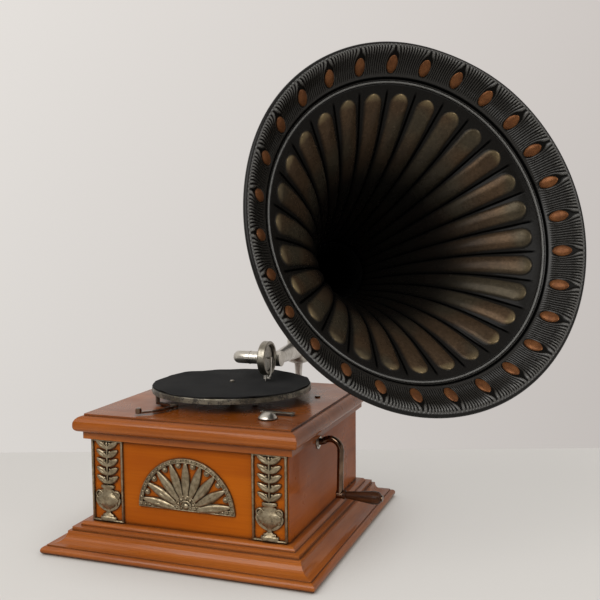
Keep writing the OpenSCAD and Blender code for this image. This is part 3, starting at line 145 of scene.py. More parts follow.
def split(tree, vector):
    """The x, y and z of a vector."""
    return tuple(put(tree, "SeparateXYZ", {0: vector}).node.outputs)


def speckle(tree, coords, scale, detail=5.0, rough=0.6):
    """Noise at one scale."""
    return put(tree, "TexNoise", {"Vector": coords, "Scale": scale, "Detail": detail, "Roughness": rough})


def grainy(tree, coords, stretch, detail=5.0, rough=0.6):
    """Noise on stretched coordinates: streaks where one axis is stretched more than the others."""
    return speckle(tree, put(tree, "Mapping", {"Vector": coords, "Scale": stretch}), 1.0, detail, rough)


def openness(tree, reach, samples=6):
    """1 where a surface lies open, and towards 0 in corners, seen over a reach in metres."""
    return put(tree, "AmbientOcclusion", {"Distance": reach}, out=1, samples=samples)


def emboss(tree, shader, strength, depth, height, normal=None):
    """Joins a bump to the shader's normal. The depth is in metres."""
    inputs = {"Strength": strength, "Distance": depth, "Height": height}
    if normal is not None:
        inputs["Normal"] = normal
    wire(tree, shader, {"Normal": put(tree, "Bump", inputs)})


def ray_kinds(tree):
    """Two outputs that are 1 for some rays only: those of the camera, and those of mirror images or glass."""
    rays = put(tree, "LightPath")
    kinds = rays.node.outputs
    return rays, calc(tree, "MAXIMUM", kinds["Is Glossy Ray"], kinds["Is Transmission Ray"])


def dress(finish, *names):
    """Gives CAD nodes a finish."""
    for name in names:
        for place in nodes[name].material_slots:
            place.material = finish


print("helpers ready")

# %% [markdown]
# ## Stage and light
# The gramophone stands on pale paper in front of a pale wall. A wide soft lamp in front and above gives most of
# the light, and two smaller ones at the left and right open the shadows. The paper adds its own pale colour for
# the camera and for reflections, and less of it close to the case, where ambient occlusion finds the contact
# shadow. The wall is lit by its own colour in the same way, and is left out of the other rays, so it casts no
# light of its own. Its back is clear, so that it doesn't hide the gramophone in views from behind. A glossy
# surface mirrors the whole room, so the world is pale behind the gramophone, overhead and at the right, and dim
# in front, where the room is unlit: that keeps the varnish rich and the black paint black.


# %% Floor, wall, lamps and world
def flat_panel(name, size, place):
    panel = bmesh.new()
    bmesh.ops.create_grid(panel, x_segments=1, y_segments=1, size=size)
    bmesh.ops.transform(panel, matrix=place, verts=panel.verts)
    mesh = bpy.data.meshes.new(name)
    panel.to_mesh(mesh)
    panel.free()
    obj = bpy.data.objects.new(name, mesh)
    scene.collection.objects.link(obj)
    return obj


PAPER, PAPER_GLOW, PAPER_SHADE = (0.625, 0.603, 0.575, 1), (0.664, 0.636, 0.600, 1), (0.13, 0.095, 0.07, 1)
SHADE_REACH, OWN_SHARE, FLOOR_HALF = 0.15, 0.62, 6.0
paper, tree, shader = new_finish("stage_paper")
wire(tree, shader, {"Base Color": PAPER, "Roughness": 0.9, "Specular IOR Level": 0.1})
rays, mirrored = ray_kinds(tree)
seen = calc(tree, "MAXIMUM", rays, mirrored)
contact = spread(tree, openness(tree, SHADE_REACH, 12), 0.0, 1.0, 0.3, 0.97)
glow = put(tree, "Emission", {0: mix(tree, contact, PAPER_SHADE, PAPER_GLOW)})
soft = put(tree, "MixShader", {0: times(tree, seen, OWN_SHARE), 1: shader.outputs[0], 2: glow})
wire(tree, tree.nodes["Material Output"], {0: soft})
floor = flat_panel("stage_floor", FLOOR_HALF, Matrix.Identity(4))
floor.data.materials.append(paper)

PALE_LEFT, PALE_RIGHT = (0.755, 0.725, 0.692, 1), (0.572, 0.535, 0.510, 1)
WALL_HALF, WALL_BEHIND, WALL_MIDDLE, FADE_HALF = 4.0, 0.44, 2.0, 0.75
wall_paper, tree, shader = new_finish("stage_wall")
tree.nodes.remove(shader)
wall_x, wall_y, wall_z = split(tree, put(tree, "TexCoord", out=3))
along = weigh(tree, (wall_x, math.cos(azimuth)), (wall_y, math.sin(azimuth)))
# Painted light: the wall's own glow is paler at the left than at the right, and grows towards the top.
wall_shade = mix(tree, spread(tree, along, 0.0, 1.0, -FADE_HALF, FADE_HALF), PALE_LEFT, PALE_RIGHT)
upper = spread(tree, wall_z, 0.96, 1.1, 0.1, 1.1)
glow = put(tree, "Emission", {0: wall_shade, 1: upper})
clear = put(tree, "BsdfTransparent")
back_side = put(tree, "NewGeometry", out=6)
wire(tree, tree.nodes["Material Output"], {0: put(tree, "MixShader", {0: back_side, 1: glow, 2: clear})})
stand = Matrix.Translation((0, WALL_BEHIND, WALL_MIDDLE)) @ Matrix.Rotation(math.pi / 2, 4, "X")
wall = flat_panel("stage_wall", WALL_HALF, Matrix.Rotation(azimuth, 4, "Z") @ stand)
wall.data.materials.append(wall_paper)
wall.visible_diffuse = False
wall.visible_shadow = False


def soft_lamp(name, place, target, size, power, tint):
    lamp = bpy.data.lights.new(name, "AREA")
    lamp.shape = "DISK"
    lamp.size = size
    lamp.energy = power
    lamp.color = tint
    obj = bpy.data.objects.new(name, lamp)
    aim = (Vector(target) - Vector(place)).to_track_quat("-Z", "Y")
    obj.matrix_world = Matrix.Translation(place) @ aim.to_matrix().to_4x4()
    scene.collection.objects.link(obj)


soft_lamp("front_lamp", (-0.4, -2.7, 2.25), (0.1, 0.0, 0.3), 3.0, 92, (1.0, 0.985, 0.96))
soft_lamp("window_lamp", (-2.0, -1.6, 2.0), (0.1, 0.0, 0.35), 1.8, 12, (1.0, 0.98, 0.95))
soft_lamp("room_lamp", (2.2, -0.9, 1.5), (0.3, 0.0, 0.4), 1.1, 17, (1.0, 0.99, 0.97))
PALE, UNLIT = (0.66, 0.635, 0.61, 1), (0.05, 0.048, 0.045, 1)
AMBIENT_LOW, AMBIENT_HIGH = (0.17, 0.168, 0.166, 1), (0.60, 0.595, 0.585, 1)
world = bpy.data.worlds.new("pale_room")
world.use_nodes = True
scene.world = world
tree = world.node_tree
rays, mirrored = ray_kinds(tree)
way_x, way_y, way_z = split(tree, put(tree, "TexCoord"))
sideways = calc(tree, "ABSOLUTE", way_x)
pale_share = between(tree, way_y, -0.35, 0.45)
for way, start, stop, share in ((way_z, 0.35, 0.95, 0.9), (sideways, 0.3, 1.0, 0.45), (way_x, 0.35, 0.9, 0.85)):
    pale_share = calc(tree, "MAXIMUM", pale_share, times(tree, between(tree, way, start, stop), share))
room = mix(tree, pale_share, UNLIT, PALE)
ambient = mix(tree, between(tree, way_z, -0.1, 0.9), AMBIENT_LOW, AMBIENT_HIGH)
sky = mix(tree, rays, mix(tree, mirrored, ambient, room), PALE)
wire(tree, tree.nodes["Background"], {0: sky, 1: 1.0})
print("stage: floor, wall and", len(bpy.data.lights), "lamps")

# %% [markdown]
# ## Varnished wood
# The case is straight-grained wood under an orange-brown varnish. Long streaks come from noise that is
# stretched along the board. The mouldings and walls run round the case and meet in mitres, so their grain has to
# turn at the corners: comparing the distances from the two centre lines says which side a point belongs to.
# Ambient occlusion finds the inner corners, which are painted darker, partly as old polish gone dark and partly
# as painted shade, and a Bevel node softens the edges.


# %% Wood finish
PORE, GRIME_AND_SHADE, BARE_WOOD = (0.10, 0.03, 0.01, 1), (0.030, 0.009, 0.004, 1), (0.52, 0.33, 0.17, 1)


def varnish(name, mitred, light, dark, gloss, coat, specular):
    finish, tree, shader = new_finish(name)
    coords = put(tree, "TexCoord", out=3)
    x, y, z = split(tree, coords)
    if mitred:
        lead = calc(tree, "SUBTRACT", calc(tree, "ABSOLUTE", x), calc(tree, "ABSOLUTE", y))
        side = calc(tree, "GREATER_THAN", lead, -0.005)
        turned = put(tree, "CombineXYZ", {0: y, 1: x, 2: z})
        coords = put(tree, "Mix", {0: side, 4: coords, 5: turned}, out=1, data_type="VECTOR")
    bands = grainy(tree, coords, (1.6, 20, 26), 3.0)
    fibres = grainy(tree, coords, (9, 260, 300), 5.0, 0.65)
    clouds = grainy(tree, coords, (4, 6, 7), 2.0, 0.5)
    tone = weigh(tree, (bands, 0.55), (fibres, 0.3), (clouds, 0.35))
    colour = mix(tree, between(tree, tone, 0.42, 0.8), dark, light)
    pores = between(tree, grainy(tree, coords, (30, 900, 900), 2.0, 0.5), 0.66, 0.74)
    colour = mix(tree, times(tree, pores, 0.35), colour, PORE)
    # Painted shade and old polish: inner corners found by ambient occlusion are made darker.
    corner = between(tree, openness(tree, 0.008), 0.92, 0.42)
    colour = mix(tree, times(tree, corner, 0.95), colour, GRIME_AND_SHADE)
    spots = grainy(tree, coords, (60, 60, 60), 3.0)
    scuffs = times(tree, between(tree, spots, 0.70, 0.76), between(tree, z, 0.02, 0.004))
    colour = mix(tree, times(tree, scuffs, 0.7), colour, BARE_WOOD)
    smear = grainy(tree, coords, (14, 14, 14), 3.0)
    wire(tree, shader, {
        "Base Color": colour, "Roughness": spread(tree, smear, gloss - 0.06, gloss + 0.12),
        "Coat Weight": coat, "Coat Roughness": 0.09, "Specular IOR Level": specular,
    })
    eased = put(tree, "Bevel", {"Radius": 0.0009}, samples=6)
    emboss(tree, shader, 0.10, 0.0006, weigh(tree, (fibres, 0.6), (smear, 0.8)), eased)
    return finish


WOODS = (
    # Finish, mitred or not, light and dark colours, roughness, coat, specular and nodes
    ("varnished_wall", True, (0.36, 0.088, 0.0030, 1), (0.245, 0.050, 0.002, 1), 0.34, 0.05, 0.05,
     "case_front"),
    ("varnished_moulding", True, (0.325, 0.094, 0.014, 1), (0.195, 0.048, 0.007, 1), 0.30, 0.32, 0.09,
     "base_moulding cornice_moulding"),
    ("varnished_board", False, (0.30, 0.080, 0.008, 1), (0.18, 0.043, 0.004, 1), 0.26, 0.31, 0.09,
     "top_board bottom_board"),
    # Painted shade: the sides and back are given a slightly darker base colour than the front.
    ("varnished_side", True, (0.345, 0.080, 0.004, 1), (0.225, 0.046, 0.001, 1), 0.30, 0.11, 0.06,
     "case_back case_left case_right"),
)
for *recipe, names in WOODS:
    dress(varnish(*recipe), *names.split())
print("wood finishes:", [recipe[0] for recipe in WOODS])

# %% [markdown]
# ## Metals
# The tonearm and fittings are nickel plate that has gone cloudy, the platter's rim is badly pitted, the crank is
# dark oxidised steel, and the ornaments are dull pressed metal with dark hollows. One recipe serves them all:
# noises at three scales give cloudy patches and small pits, and the numbers say how much of each the metal has.
# Ambient occlusion makes corners and hollows darker, partly as dirt and partly as painted shade.


# %% Metal finish
PIT, DIRT_AND_SHADE = (0.03, 0.025, 0.02, 1), (0.02, 0.016, 0.012, 1)


def old_metal(name, bright, dull, rough, pits, pit_colour=PIT, cloud_scale=60, grime_and_shade=0.6, metal=1.0):
    finish, tree, shader = new_finish(name)
    coords = put(tree, "TexCoord", out=3)
    clouds = speckle(tree, coords, cloud_scale)
    specks = speckle(tree, coords, 420.0, 4.0, 0.65)
    patches = speckle(tree, coords, 110.0, 4.0)
    colour = mix(tree, between(tree, clouds, 0.35, 0.68), bright, dull)
    worn = weigh(tree, (specks, 0.5), (patches, 0.5))
    pitted = between(tree, worn, 0.66 - 0.2 * pits, 0.74 - 0.2 * pits)
    colour = mix(tree, times(tree, pitted, min(1.0, 0.35 + pits)), colour, pit_colour)
    # Painted shade and dirt: corners and hollows found by ambient occlusion are made darker.
    corner = between(tree, openness(tree, 0.004), 0.8, 0.3)
    colour = mix(tree, times(tree, corner, grime_and_shade), colour, DIRT_AND_SHADE)
    shine = calc(tree, "SUBTRACT", metal, times(tree, pitted, 0.7 * metal * min(1.0, 0.5 + pits)))
    wire(tree, shader, {
        "Base Color": colour, "Metallic": shine, "Specular IOR Level": 0.5 * metal ** 2,
        "Roughness": spread(tree, clouds, rough - 0.07, rough + 0.13),
    })
    eased = put(tree, "Bevel", {"Radius": 0.0004}, samples=6)
    emboss(tree, shader, 0.25, 0.0004, weigh(tree, (clouds, 0.3), (pitted, -0.7)), eased)
    return finish


METALS = (
    # Finish, bright and dull colours, roughness, pits, other settings and nodes
    ("aged_nickel", (0.60, 0.57, 0.51, 1), (0.44, 0.415, 0.365, 1), 0.30, 0.05, {},
     "tonearm gooseneck needle_screw needle needle_bar speed_knob crank_escutcheon"),
    ("dull_nickel", (0.33, 0.305, 0.255, 1), (0.185, 0.168, 0.136, 1), 0.34, 0.2, {},
     "speed_scale soundbox_shell soundbox_ring brake_pivot spindle"),
    ("satin_nickel", (0.62, 0.60, 0.56, 1), (0.48, 0.46, 0.42, 1), 0.52, 0.08, {},
     "horn_bracket"),
    ("pitted_rim", (0.21, 0.190, 0.150, 1), (0.095, 0.084, 0.061, 1), 0.40, 0.9,
     {"pit_colour": (0.030, 0.025, 0.019, 1)},
     "platter"),
    ("oxidised_iron", (0.20, 0.128, 0.084, 1), (0.088, 0.057, 0.039, 1), 0.16, 0.08, {},
     "crank brake_lever motor_screws"),
    ("pressed_pewter", (0.35, 0.29, 0.195, 1), (0.185, 0.142, 0.087, 1), 0.36, 0.35,
     {"cloud_scale": 140, "grime_and_shade": 0.95},
     "left_panel right_panel lunette_panel"),
    ("machined_steel", (0.56, 0.56, 0.55, 1), (0.42, 0.42, 0.41, 1), 0.28, 0.05, {},
     "motor_top_plate motor_bottom_plate motor_pillars shaft_hangers bracket_screws mainspring winding_arbor "
     "intermediate_arbor governor_shaft governor_springs winding_shaft"),
    ("machined_brass", (0.66, 0.48, 0.20, 1), (0.50, 0.35, 0.14, 1), 0.28, 0.05, {},
     "governor_bearings thrust_bearing governor_wheel spring_barrel barrel_cover intermediate_wheel "
     "governor_weights friction_disc"),
)
for *recipe, settings, names in METALS:
    dress(old_metal(*recipe, **settings), *names.split())
pewter = bpy.data.materials["pressed_pewter"]
print("metal finishes on", sum(len(o.material_slots) > 0 for o in nodes.values()), "nodes")

# %% [markdown]
# ## Small soft finishes
# The crank's handle is dark turned wood, polished by hands. The pads are leather, the gaskets rubber and the
# diaphragm a cloudy sheet of mica.


# %% Handle, leather, rubber and mica
def plain_finish(name, light, dark, scale, rough, stretch=(1, 1, 1), specular=0.4):
    finish, tree, shader = new_finish(name)
    coords = put(tree, "TexCoord", out=3)
    grain = grainy(tree, coords, tuple(scale * s for s in stretch))
    fine = grainy(tree, coords, tuple(6 * scale * s for s in stretch), 3.0)
    tone = weigh(tree, (grain, 0.7), (fine, 0.3))
    wire(tree, shader, {
        "Base Color": mix(tree, between(tree, tone, 0.35, 0.66), dark, light),
        "Roughness": spread(tree, grain, rough - 0.06, rough + 0.1), "Specular IOR Level": specular,
    })
    emboss(tree, shader, 0.35, 0.0003, tone)
    return finish


handle_wood = plain_finish(
    "handle_wood", (0.065, 0.022, 0.008, 1), (0.026, 0.010, 0.005, 1), 60, 0.30, stretch=(0.25, 3, 3), specular=0.1
)
leather = plain_finish("pad_leather", (0.075, 0.040, 0.022, 1), (0.036, 0.020, 0.012, 1), 500, 0.65)
gasket_rubber = plain_finish("gasket_rubber", (0.035, 0.033, 0.030, 1), (0.018, 0.017, 0.016, 1), 300, 0.6)
mica = plain_finish("cloudy_mica", (0.62, 0.58, 0.50, 1), (0.46, 0.42, 0.35, 1), 90, 0.28)
dress(handle_wood, "crank_handle")
dress(leather, "brake_pad", "regulator_pad")
dress(gasket_rubber, "soundbox_gaskets")
dress(mica, "diaphragm")
print("small finishes ready")

# %% [markdown]
# ## The horn's own frame
# Everything on the horn is turned about one slanting axis. It is easiest to model with that axis upright, Z out of
# the mouth and the mouth's centre at the origin, and to move the finished mesh to its place with one matrix. The
# sizes are those of the CAD model, in millimetres.

# %% Horn frame and flare
PIVOT = Vector((24, 240, 0))
YAW, PITCH, TURN = (math.radians(v) for v in (42.4, 15.4, 2.7))
MOUTH_R, HORN_LEN, FLARE, TAPER, THROAT_R = 257.0, 428.0, 112.0, 0.12, 21.8
FLUTES = 28
SEAM_R, SEAM_S, ROLL_R, NECK_S = MOUTH_R - 48.3, 38.5, 4.0, 300.0
ELBOW_Z, ELBOW_R = 308.8, 60.0
elbow_bend = math.pi / 2 - PITCH
mouth_out = ELBOW_R * (1 - math.cos(elbow_bend)) + HORN_LEN * math.cos(PITCH)
mouth_up = ELBOW_Z + ELBOW_R * math.sin(elbow_bend) + HORN_LEN * math.sin(PITCH)
to_horn = Matrix.Translation(PIVOT) @ Matrix.Rotation(YAW - math.pi / 2, 4, "Z")
to_bell = to_horn @ Matrix.Translation((mouth_out, 0, mouth_up)) @ Matrix.Rotation(elbow_bend, 4, "Y")
to_bell = Matrix.Scale(MM, 4) @ to_bell @ Matrix.Rotation(TURN, 4, "Z")
far_share = math.exp(-HORN_LEN / FLARE)
flare_rise = (SEAM_R - THROAT_R - TAPER * (HORN_LEN - SEAM_S)) / (math.exp(-SEAM_S / FLARE) - far_share)
core_r = THROAT_R - flare_rise * far_share
sector = 2 * math.pi / FLUTES


def flare_radius(s):
    return core_r + TAPER * (HORN_LEN - s) + flare_rise * math.exp(-s / FLARE)


def flare_slope(s):
    return -TAPER - flare_rise / FLARE * math.exp(-s / FLARE)


def make_piece(name, shape, body, finishes, place=None, smooth_angle=40):
    """Turns a bmesh into an object that rides on a body, with its place in its mesh."""
    if place is not None:
        bmesh.ops.transform(shape, matrix=place, verts=shape.verts)
    mesh = bpy.data.meshes.new(name)
    shape.to_mesh(mesh)
    shape.free()
    mesh.shade_smooth()
    mesh.set_sharp_from_angle(angle=math.radians(smooth_angle))
    for finish in finishes:
        mesh.materials.append(finish)
    obj = bpy.data.objects.new(name, mesh)
    scene.collection.objects.link(obj)
    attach(obj, body)
    return obj


def polar(co):
    """Turn about the Z axis, and distance from it."""
    return math.atan2(co.y, co.x), math.hypot(co.x, co.y)


def spin_share(shape, geom, steps):
    """Spins a section about the horn's axis, through one flute's share of the turn."""
    bmesh.ops.spin(
        shape, geom=geom, cent=(0, 0, 0), axis=(0, 0, 1), angle=sector, steps=steps, dvec=(0, 0, 0), use_merge=False
    )


def spin_copies(shape):
    """Copies one share about the horn's axis, to fill the rest of the turn."""
    bmesh.ops.spin(
        shape, geom=shape.verts[:] + shape.edges[:] + shape.faces[:], cent=(0, 0, 0), axis=(0, 0, 1),
        angle=2 * math.pi - sector, steps=FLUTES - 1, dvec=(0, 0, 0), use_duplicate=True,
    )


EDGE_SAG, SAG_TURN, DENT_REACH = 2.4, math.radians(-10), 48
# Turn in degrees, width in radians and depth in mm of each dent
DENTS = ((160, 0.32, 2.2), (258, 0.38, 3.2), (30, 0.5, -1.4), (92, 0.5, -1.4))


def dent(co):
    """Old knocks in the flange: its edge sags a little, and is pressed in or drawn out at four places."""
    turn, r = polar(co)
    reach = max(0.0, min(1.0, (r - SEAM_R) / DENT_REACH)) ** 2
    co.x += EDGE_SAG * reach * math.cos(SAG_TURN)
    co.y += EDGE_SAG * reach * math.sin(SAG_TURN)
    for place, width, depth in DENTS:
        off = math.remainder(turn - math.radians(place), 2 * math.pi) / width
        share = reach * math.exp(-off * off)
        co.x -= depth * share * math.cos(turn)
        co.y -= depth * share * math.sin(turn)
        co.z -= 0.6 * depth * share


print("mouth centre:", tuple(round(v, 4) for v in to_bell.translation), "flare core:", round(core_r, 2))

# %% [markdown]
# ## The fluted bell
# The bell is one pressed sheet whose flutes end in round fingertips below the rim, with a sharp crease between
# every two. It could be sculpted, or lofted from many curves. Here one line of points, the flare itself, is
# spun through a single flute, the flute is raised from that sheet by a small formula, and the finished flute is
# spun round as copies. A UV map keeps where each point lies across and along its flute, for the paint.


# %% Model the bell
FLUTE_S, ROUND_LEN = 46.0, 10.0
TIP_HALF, BODY_HALF, BODY_S = 0.345, 0.415, 130.0
RISE, VAULT_SINK, CREASE_U, FADE_LEN = 3.4, 2.2, 0.455, 60
FLUTE_STEPS, SHEET = 22, 0.8
# Depth at which each stretch of the flute's length ends, and the rows of faces in it
STRETCHES = ((45.4, 5), (51.0, 13), (66.0, 15), (120.0, 16), (NECK_S, 16))


def ease(value, low, high):
    """0 below low, 1 above high and a smooth step in between."""
    t = max(0.0, min(1.0, (value - low) / (high - low)))
    return t * t * (3 - 2 * t)


def flute_form(s, u):
    """Rise of the sheet above the plain flare, in mm, at u from -0.5 to 0.5 across a flute of full size."""
    t = max(0.0, min(1.0, (s - FLUTE_S) / ROUND_LEN))
    close = math.sqrt(max(0.0, 1 - (1 - t) ** 2))
    half = close * (TIP_HALF + (BODY_HALF - TIP_HALF) * ease(s, FLUTE_S, BODY_S))
    finger = 0.0
    if half > 0.01 and abs(u) < half:
        finger = (1 - abs(u / half) ** 2.5) ** 0.6 * min(1.0, 0.3 + 0.7 * close)
    vault = 1 - (abs(u) / 0.5) ** 1.6 - 0.55 * ease(abs(u), CREASE_U, 0.5)
    return RISE * finger + (RISE * vault - VAULT_SINK) * ease(s, FLUTE_S - 8, FLUTE_S + 26)


bell = bmesh.new()
flute_map = bell.loops.layers.uv.new("flute")
depths = [SEAM_S + 0.2]
for end_s, count in STRETCHES:
    first = depths[-1]
    depths += [first + (end_s - first) * (i + 1) / count for i in range(count)]
line = [bell.verts.new((flare_radius(s), 0, -s)) for s in depths]
edges = [bell.edges.new(pair) for pair in zip(line, line[1:])]
spin_share(bell, line + edges, FLUTE_STEPS)
for face in bell.faces:
    for loop in face.loops:
        co = loop.vert.co
        loop[flute_map].uv = (math.atan2(co.y, co.x) / sector - 0.5, -co.z / HORN_LEN)
for vert in bell.verts:
    s, turn = -vert.co.z, math.atan2(vert.co.y, vert.co.x)
    size = (flare_radius(s) / flare_radius(FLUTE_S)) ** 0.75 * min(1.0, (NECK_S - s) / FADE_LEN)
    rise = flute_form(s, turn / sector - 0.5) * size
    inward = Vector((-1, 0, -flare_slope(s))).normalized()
    radius = min(flare_radius(s) + rise * inward.x, SEAM_R - 0.15)
    vert.co = Vector((radius * math.cos(turn), radius * math.sin(turn), -s + rise * inward.z))
spin_copies(bell)
bmesh.ops.remove_doubles(bell, verts=bell.verts, dist=0.002)
bmesh.ops.recalc_face_normals(bell, faces=bell.faces)
sample = max(bell.faces, key=lambda f: f.calc_center_median().z)
if sample.normal.z < 0:
    bmesh.ops.reverse_faces(bell, faces=bell.faces)
print("bell:", len(bell.verts), "vertices,", len(bell.faces), "faces")

# %% [markdown]
# The inside is black paint rubbed back to bronze on the crowns. The paint reads the flute map: the first
# coordinate is 0 on a crown and 0.5 in a crease, the second is the depth. The rubbed share is largest near the
# fingertips, and noise breaks it up. The fingertips' ends are a brighter bronze, partly wear and partly painted
# highlight. Painted shade makes the black ground darker deeper in the horn and black in the creases near the
# fingertips. The outside is plain black paint, and Solidify gives it a second slot.


# %% Paint the bell
RECESS_SHADE_BLACK = (0.0008, 0.0008, 0.0008, 1)
PAINT_DARK, PAINT_DUSTY, PAINT_CHIP = (0.008, 0.0076, 0.0072, 1), (0.016, 0.0150, 0.0137, 1), (0.09, 0.075, 0.055, 1)
OLIVE_DARK, OLIVE_LIGHT = (0.048, 0.0380, 0.0240, 1), (0.068, 0.0545, 0.035, 1)
BROWN_DARK, BROWN_LIGHT = (0.054, 0.0335, 0.0185, 1), (0.080, 0.0505, 0.029, 1)
GROUND_NEAR, GROUND_DEEP_SHADE = (0.0062, 0.0056, 0.0049, 1), (0.0020, 0.0019, 0.0018, 1)
TIP_BRONZE_AND_GLINT, HATCH_MM = (0.23, 0.175, 0.092, 1), 1.8


def black_paint(name):
    finish, tree, shader = new_finish(name)
    coords = put(tree, "TexCoord", out=3)
    dust = speckle(tree, coords, 35.0)
    fine = speckle(tree, coords, 600.0, 3.0)
    colour = mix(tree, between(tree, dust, 0.35, 0.7), PAINT_DARK, PAINT_DUSTY)
    chips = between(tree, speckle(tree, coords, 150.0, 4.0, 0.7), 0.70, 0.74)
    colour = mix(tree, times(tree, chips, 0.5), colour, PAINT_CHIP)
    # Painted shade: where ambient occlusion finds a deep hollow, as inside the neck and elbow, the paint is made
    # nearly black and loses its gloss.
    shaded_hollow = openness(tree, 0.12)
    colour = mix(tree, between(tree, shaded_hollow, 0.45, 0.2), colour, (0.0015, 0.0015, 0.0015, 1))
    wire(tree, shader, {
        "Base Color": colour, "Specular IOR Level": spread(tree, shaded_hollow, 0.0, 0.45, 0.2, 0.5),
        "Roughness": spread(tree, dust, 0.34, 0.5),
    })
    emboss(tree, shader, 0.15, 0.0004, weigh(tree, (dust, 1.0), (fine, 0.3)))
    return finish


black = black_paint("black_paint")
rubbed, tree, shader = new_finish("rubbed_bronze")
coords = put(tree, "TexCoord", out=3)
from_crown, depth_share, _ = split(tree, put(tree, "UVMap", uv_map="flute"))
across, depth = calc(tree, "ABSOLUTE", from_crown), times(tree, depth_share, HORN_LEN)
blotch = speckle(tree, coords, 28.0, 5.0, 0.62)
speck = speckle(tree, coords, 240.0, 4.0, 0.65)
uneven = speckle(tree, coords, 11.0, 1.0, 0.5)
cap = spread(tree, depth, 0.0, 1.0, FLUTE_S + ROUND_LEN, FLUTE_S)
close = calc(tree, "SQRT", calc(tree, "SUBTRACT", 1.0, times(tree, cap, cap)))
half = spread(tree, between(tree, depth, FLUTE_S, BODY_S), TIP_HALF, BODY_HALF, 0.0, 1.0)
inside = calc(tree, "SUBTRACT", times(tree, close, half), across)
finger = between(tree, inside, -0.025, 0.10)
shallow = between(tree, depth, 150.0, 54.0)
rub = times(tree, finger, spread(tree, blotch, 0.55, 1.0))
rub = times(tree, rub, spread(tree, shallow, 0.04, 1.0, 0.0, 1.0))
specked = between(tree, speck, 0.36, 0.68)
olive, brown = mix(tree, specked, OLIVE_DARK, OLIVE_LIGHT), mix(tree, specked, BROWN_DARK, BROWN_LIGHT)
bronze = mix(tree, between(tree, uneven, 0.42, 0.58), olive, brown)
# Wear and painted highlight: the fingertips' ends are a brighter bronze.
fingertip_wear_and_glint = times(tree, between(tree, depth, FLUTE_S + 8, FLUTE_S + 1), between(tree, inside, -0.01, 0.04))
fingertip_wear_and_glint = times(tree, fingertip_wear_and_glint, spread(tree, uneven, 0.10, 0.80, 0.35, 0.65))
bronze = mix(tree, fingertip_wear_and_glint, bronze, TIP_BRONZE_AND_GLINT)
# Painted shade: the creases near the fingertips are painted black.
crease_shade = times(tree, between(tree, across, 0.445, 0.478), between(tree, depth, FLUTE_S - 4.5, FLUTE_S + 1))
# Painted shade: the black ground is darker deeper in the horn.
ground = mix(tree, between(tree, depth, 60.0, 190.0), GROUND_NEAR, GROUND_DEEP_SHADE)
ground = mix(tree, crease_shade, ground, RECESS_SHADE_BLACK)
wire(tree, shader, {
    "Base Color": mix(tree, rub, ground, bronze), "Metallic": times(tree, rub, 0.55),
    "Roughness": spread(tree, blotch, 0.22, 0.34), "Specular IOR Level": spread(tree, crease_shade, 0.07, 0.0, 0.0, 1.0),
})
turn_mm = times(tree, from_crown, 2 * math.pi * SEAM_R / FLUTES)
hatch = calc(tree, "COSINE", times(tree, turn_mm, 2 * math.pi / HATCH_MM))
hatch = times(tree, hatch, between(tree, depth, SEAM_S + 7, SEAM_S + 2))
emboss(tree, shader, 0.22, 0.0008, weigh(tree, (blotch, 0.8), (speck, 0.25), (hatch, 0.3)))

bell_piece = make_piece("fluted_bell", bell, "horn", [rubbed, black], to_bell, smooth_angle=60)
wall_mod = bell_piece.modifiers.new("sheet", "SOLIDIFY")
wall_mod.thickness = SHEET * MM
wall_mod.offset = -1
wall_mod.material_offset = 1
wall_mod.material_offset_rim = 1
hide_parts("horn_bell", "horn_throat")
dress(black, "horn_elbow", "horn_ferrule", "horn_neck")
print("bell painted:", [m.name for m in bell_piece.data.materials])

# %% [markdown]
# ## The flange
# The flange climbs steeply from a bright bead to a flat crest and a rolled edge. Fine pressed ribs run outwards
# over it and part round each oval like water round a stone. Drawing them in the material alone would leave the
# edge smooth, so they are real: the section is spun through one oval's share with many fine steps, each point
# is lifted by a wave of the stream function of a flow round an oval, and the share is copied round.


# %% Model the flange
def arc_points(cx, cy, r, a0, a1, steps):
    angles = [math.radians(a0 + (a1 - a0) * i / steps) for i in range(steps + 1)]
    return [(cx + r * math.cos(a), cy + r * math.sin(a)) for a in angles]


CONE_R, LIP_S, BULGE, BEAD_R = MOUTH_R - ROLL_R, 1.1 * ROLL_R, 2.0, 1.6
CREST_T, CREST_HALF, CREST_RISE, CREST_Z = 0.86, 0.06, 7.4, -0.2
OVAL_T, OVAL_LONG, OVAL_WIDE, RIBS = 0.476, 16.4, 9.6, 11
RIBS_START, RIBS_END, RIB_RISE, RIB_GAIN = (0.18, 0.32), (0.88, 0.97), 0.38, 0.44
FACE_STRETCH, FACE_STEPS, FLANGE_STEPS, BACK_MARK = 1.49, 30, 64, 2.0


def flange_at(t):
    """Radius and height of the flange's face, from the bead at 0 over a flat crest to the roll at 1."""
    cone_z = (SEAM_S - LIP_S) * t - SEAM_S + 4 * BULGE * t * (1 - t)
    crest_z = cone_z + CREST_RISE * ease(t, 0.40, CREST_T)
    flat = ease(t, CREST_T - CREST_HALF, CREST_T + CREST_HALF)
    return SEAM_R + (CONE_R - SEAM_R) * t, crest_z + (CREST_Z - crest_z) * flat


oval_r, oval_z = flange_at(OVAL_T)
share_mm = oval_r * sector


def rib_wave(turn, r):
    """A wave from -1 to 1 across the ribs, which run along the flow lines round an oval."""
    side, out = turn / sector * share_mm, (r - oval_r) * FACE_STRETCH
    reach = max(1.0, (out / OVAL_LONG) ** 2 + (side / OVAL_WIDE) ** 2)
    calm = max(0.0, 1 - (2 * side / share_mm) ** 2)
    return -math.cos(2 * math.pi * RIBS / share_mm * side * (1 - calm / reach))


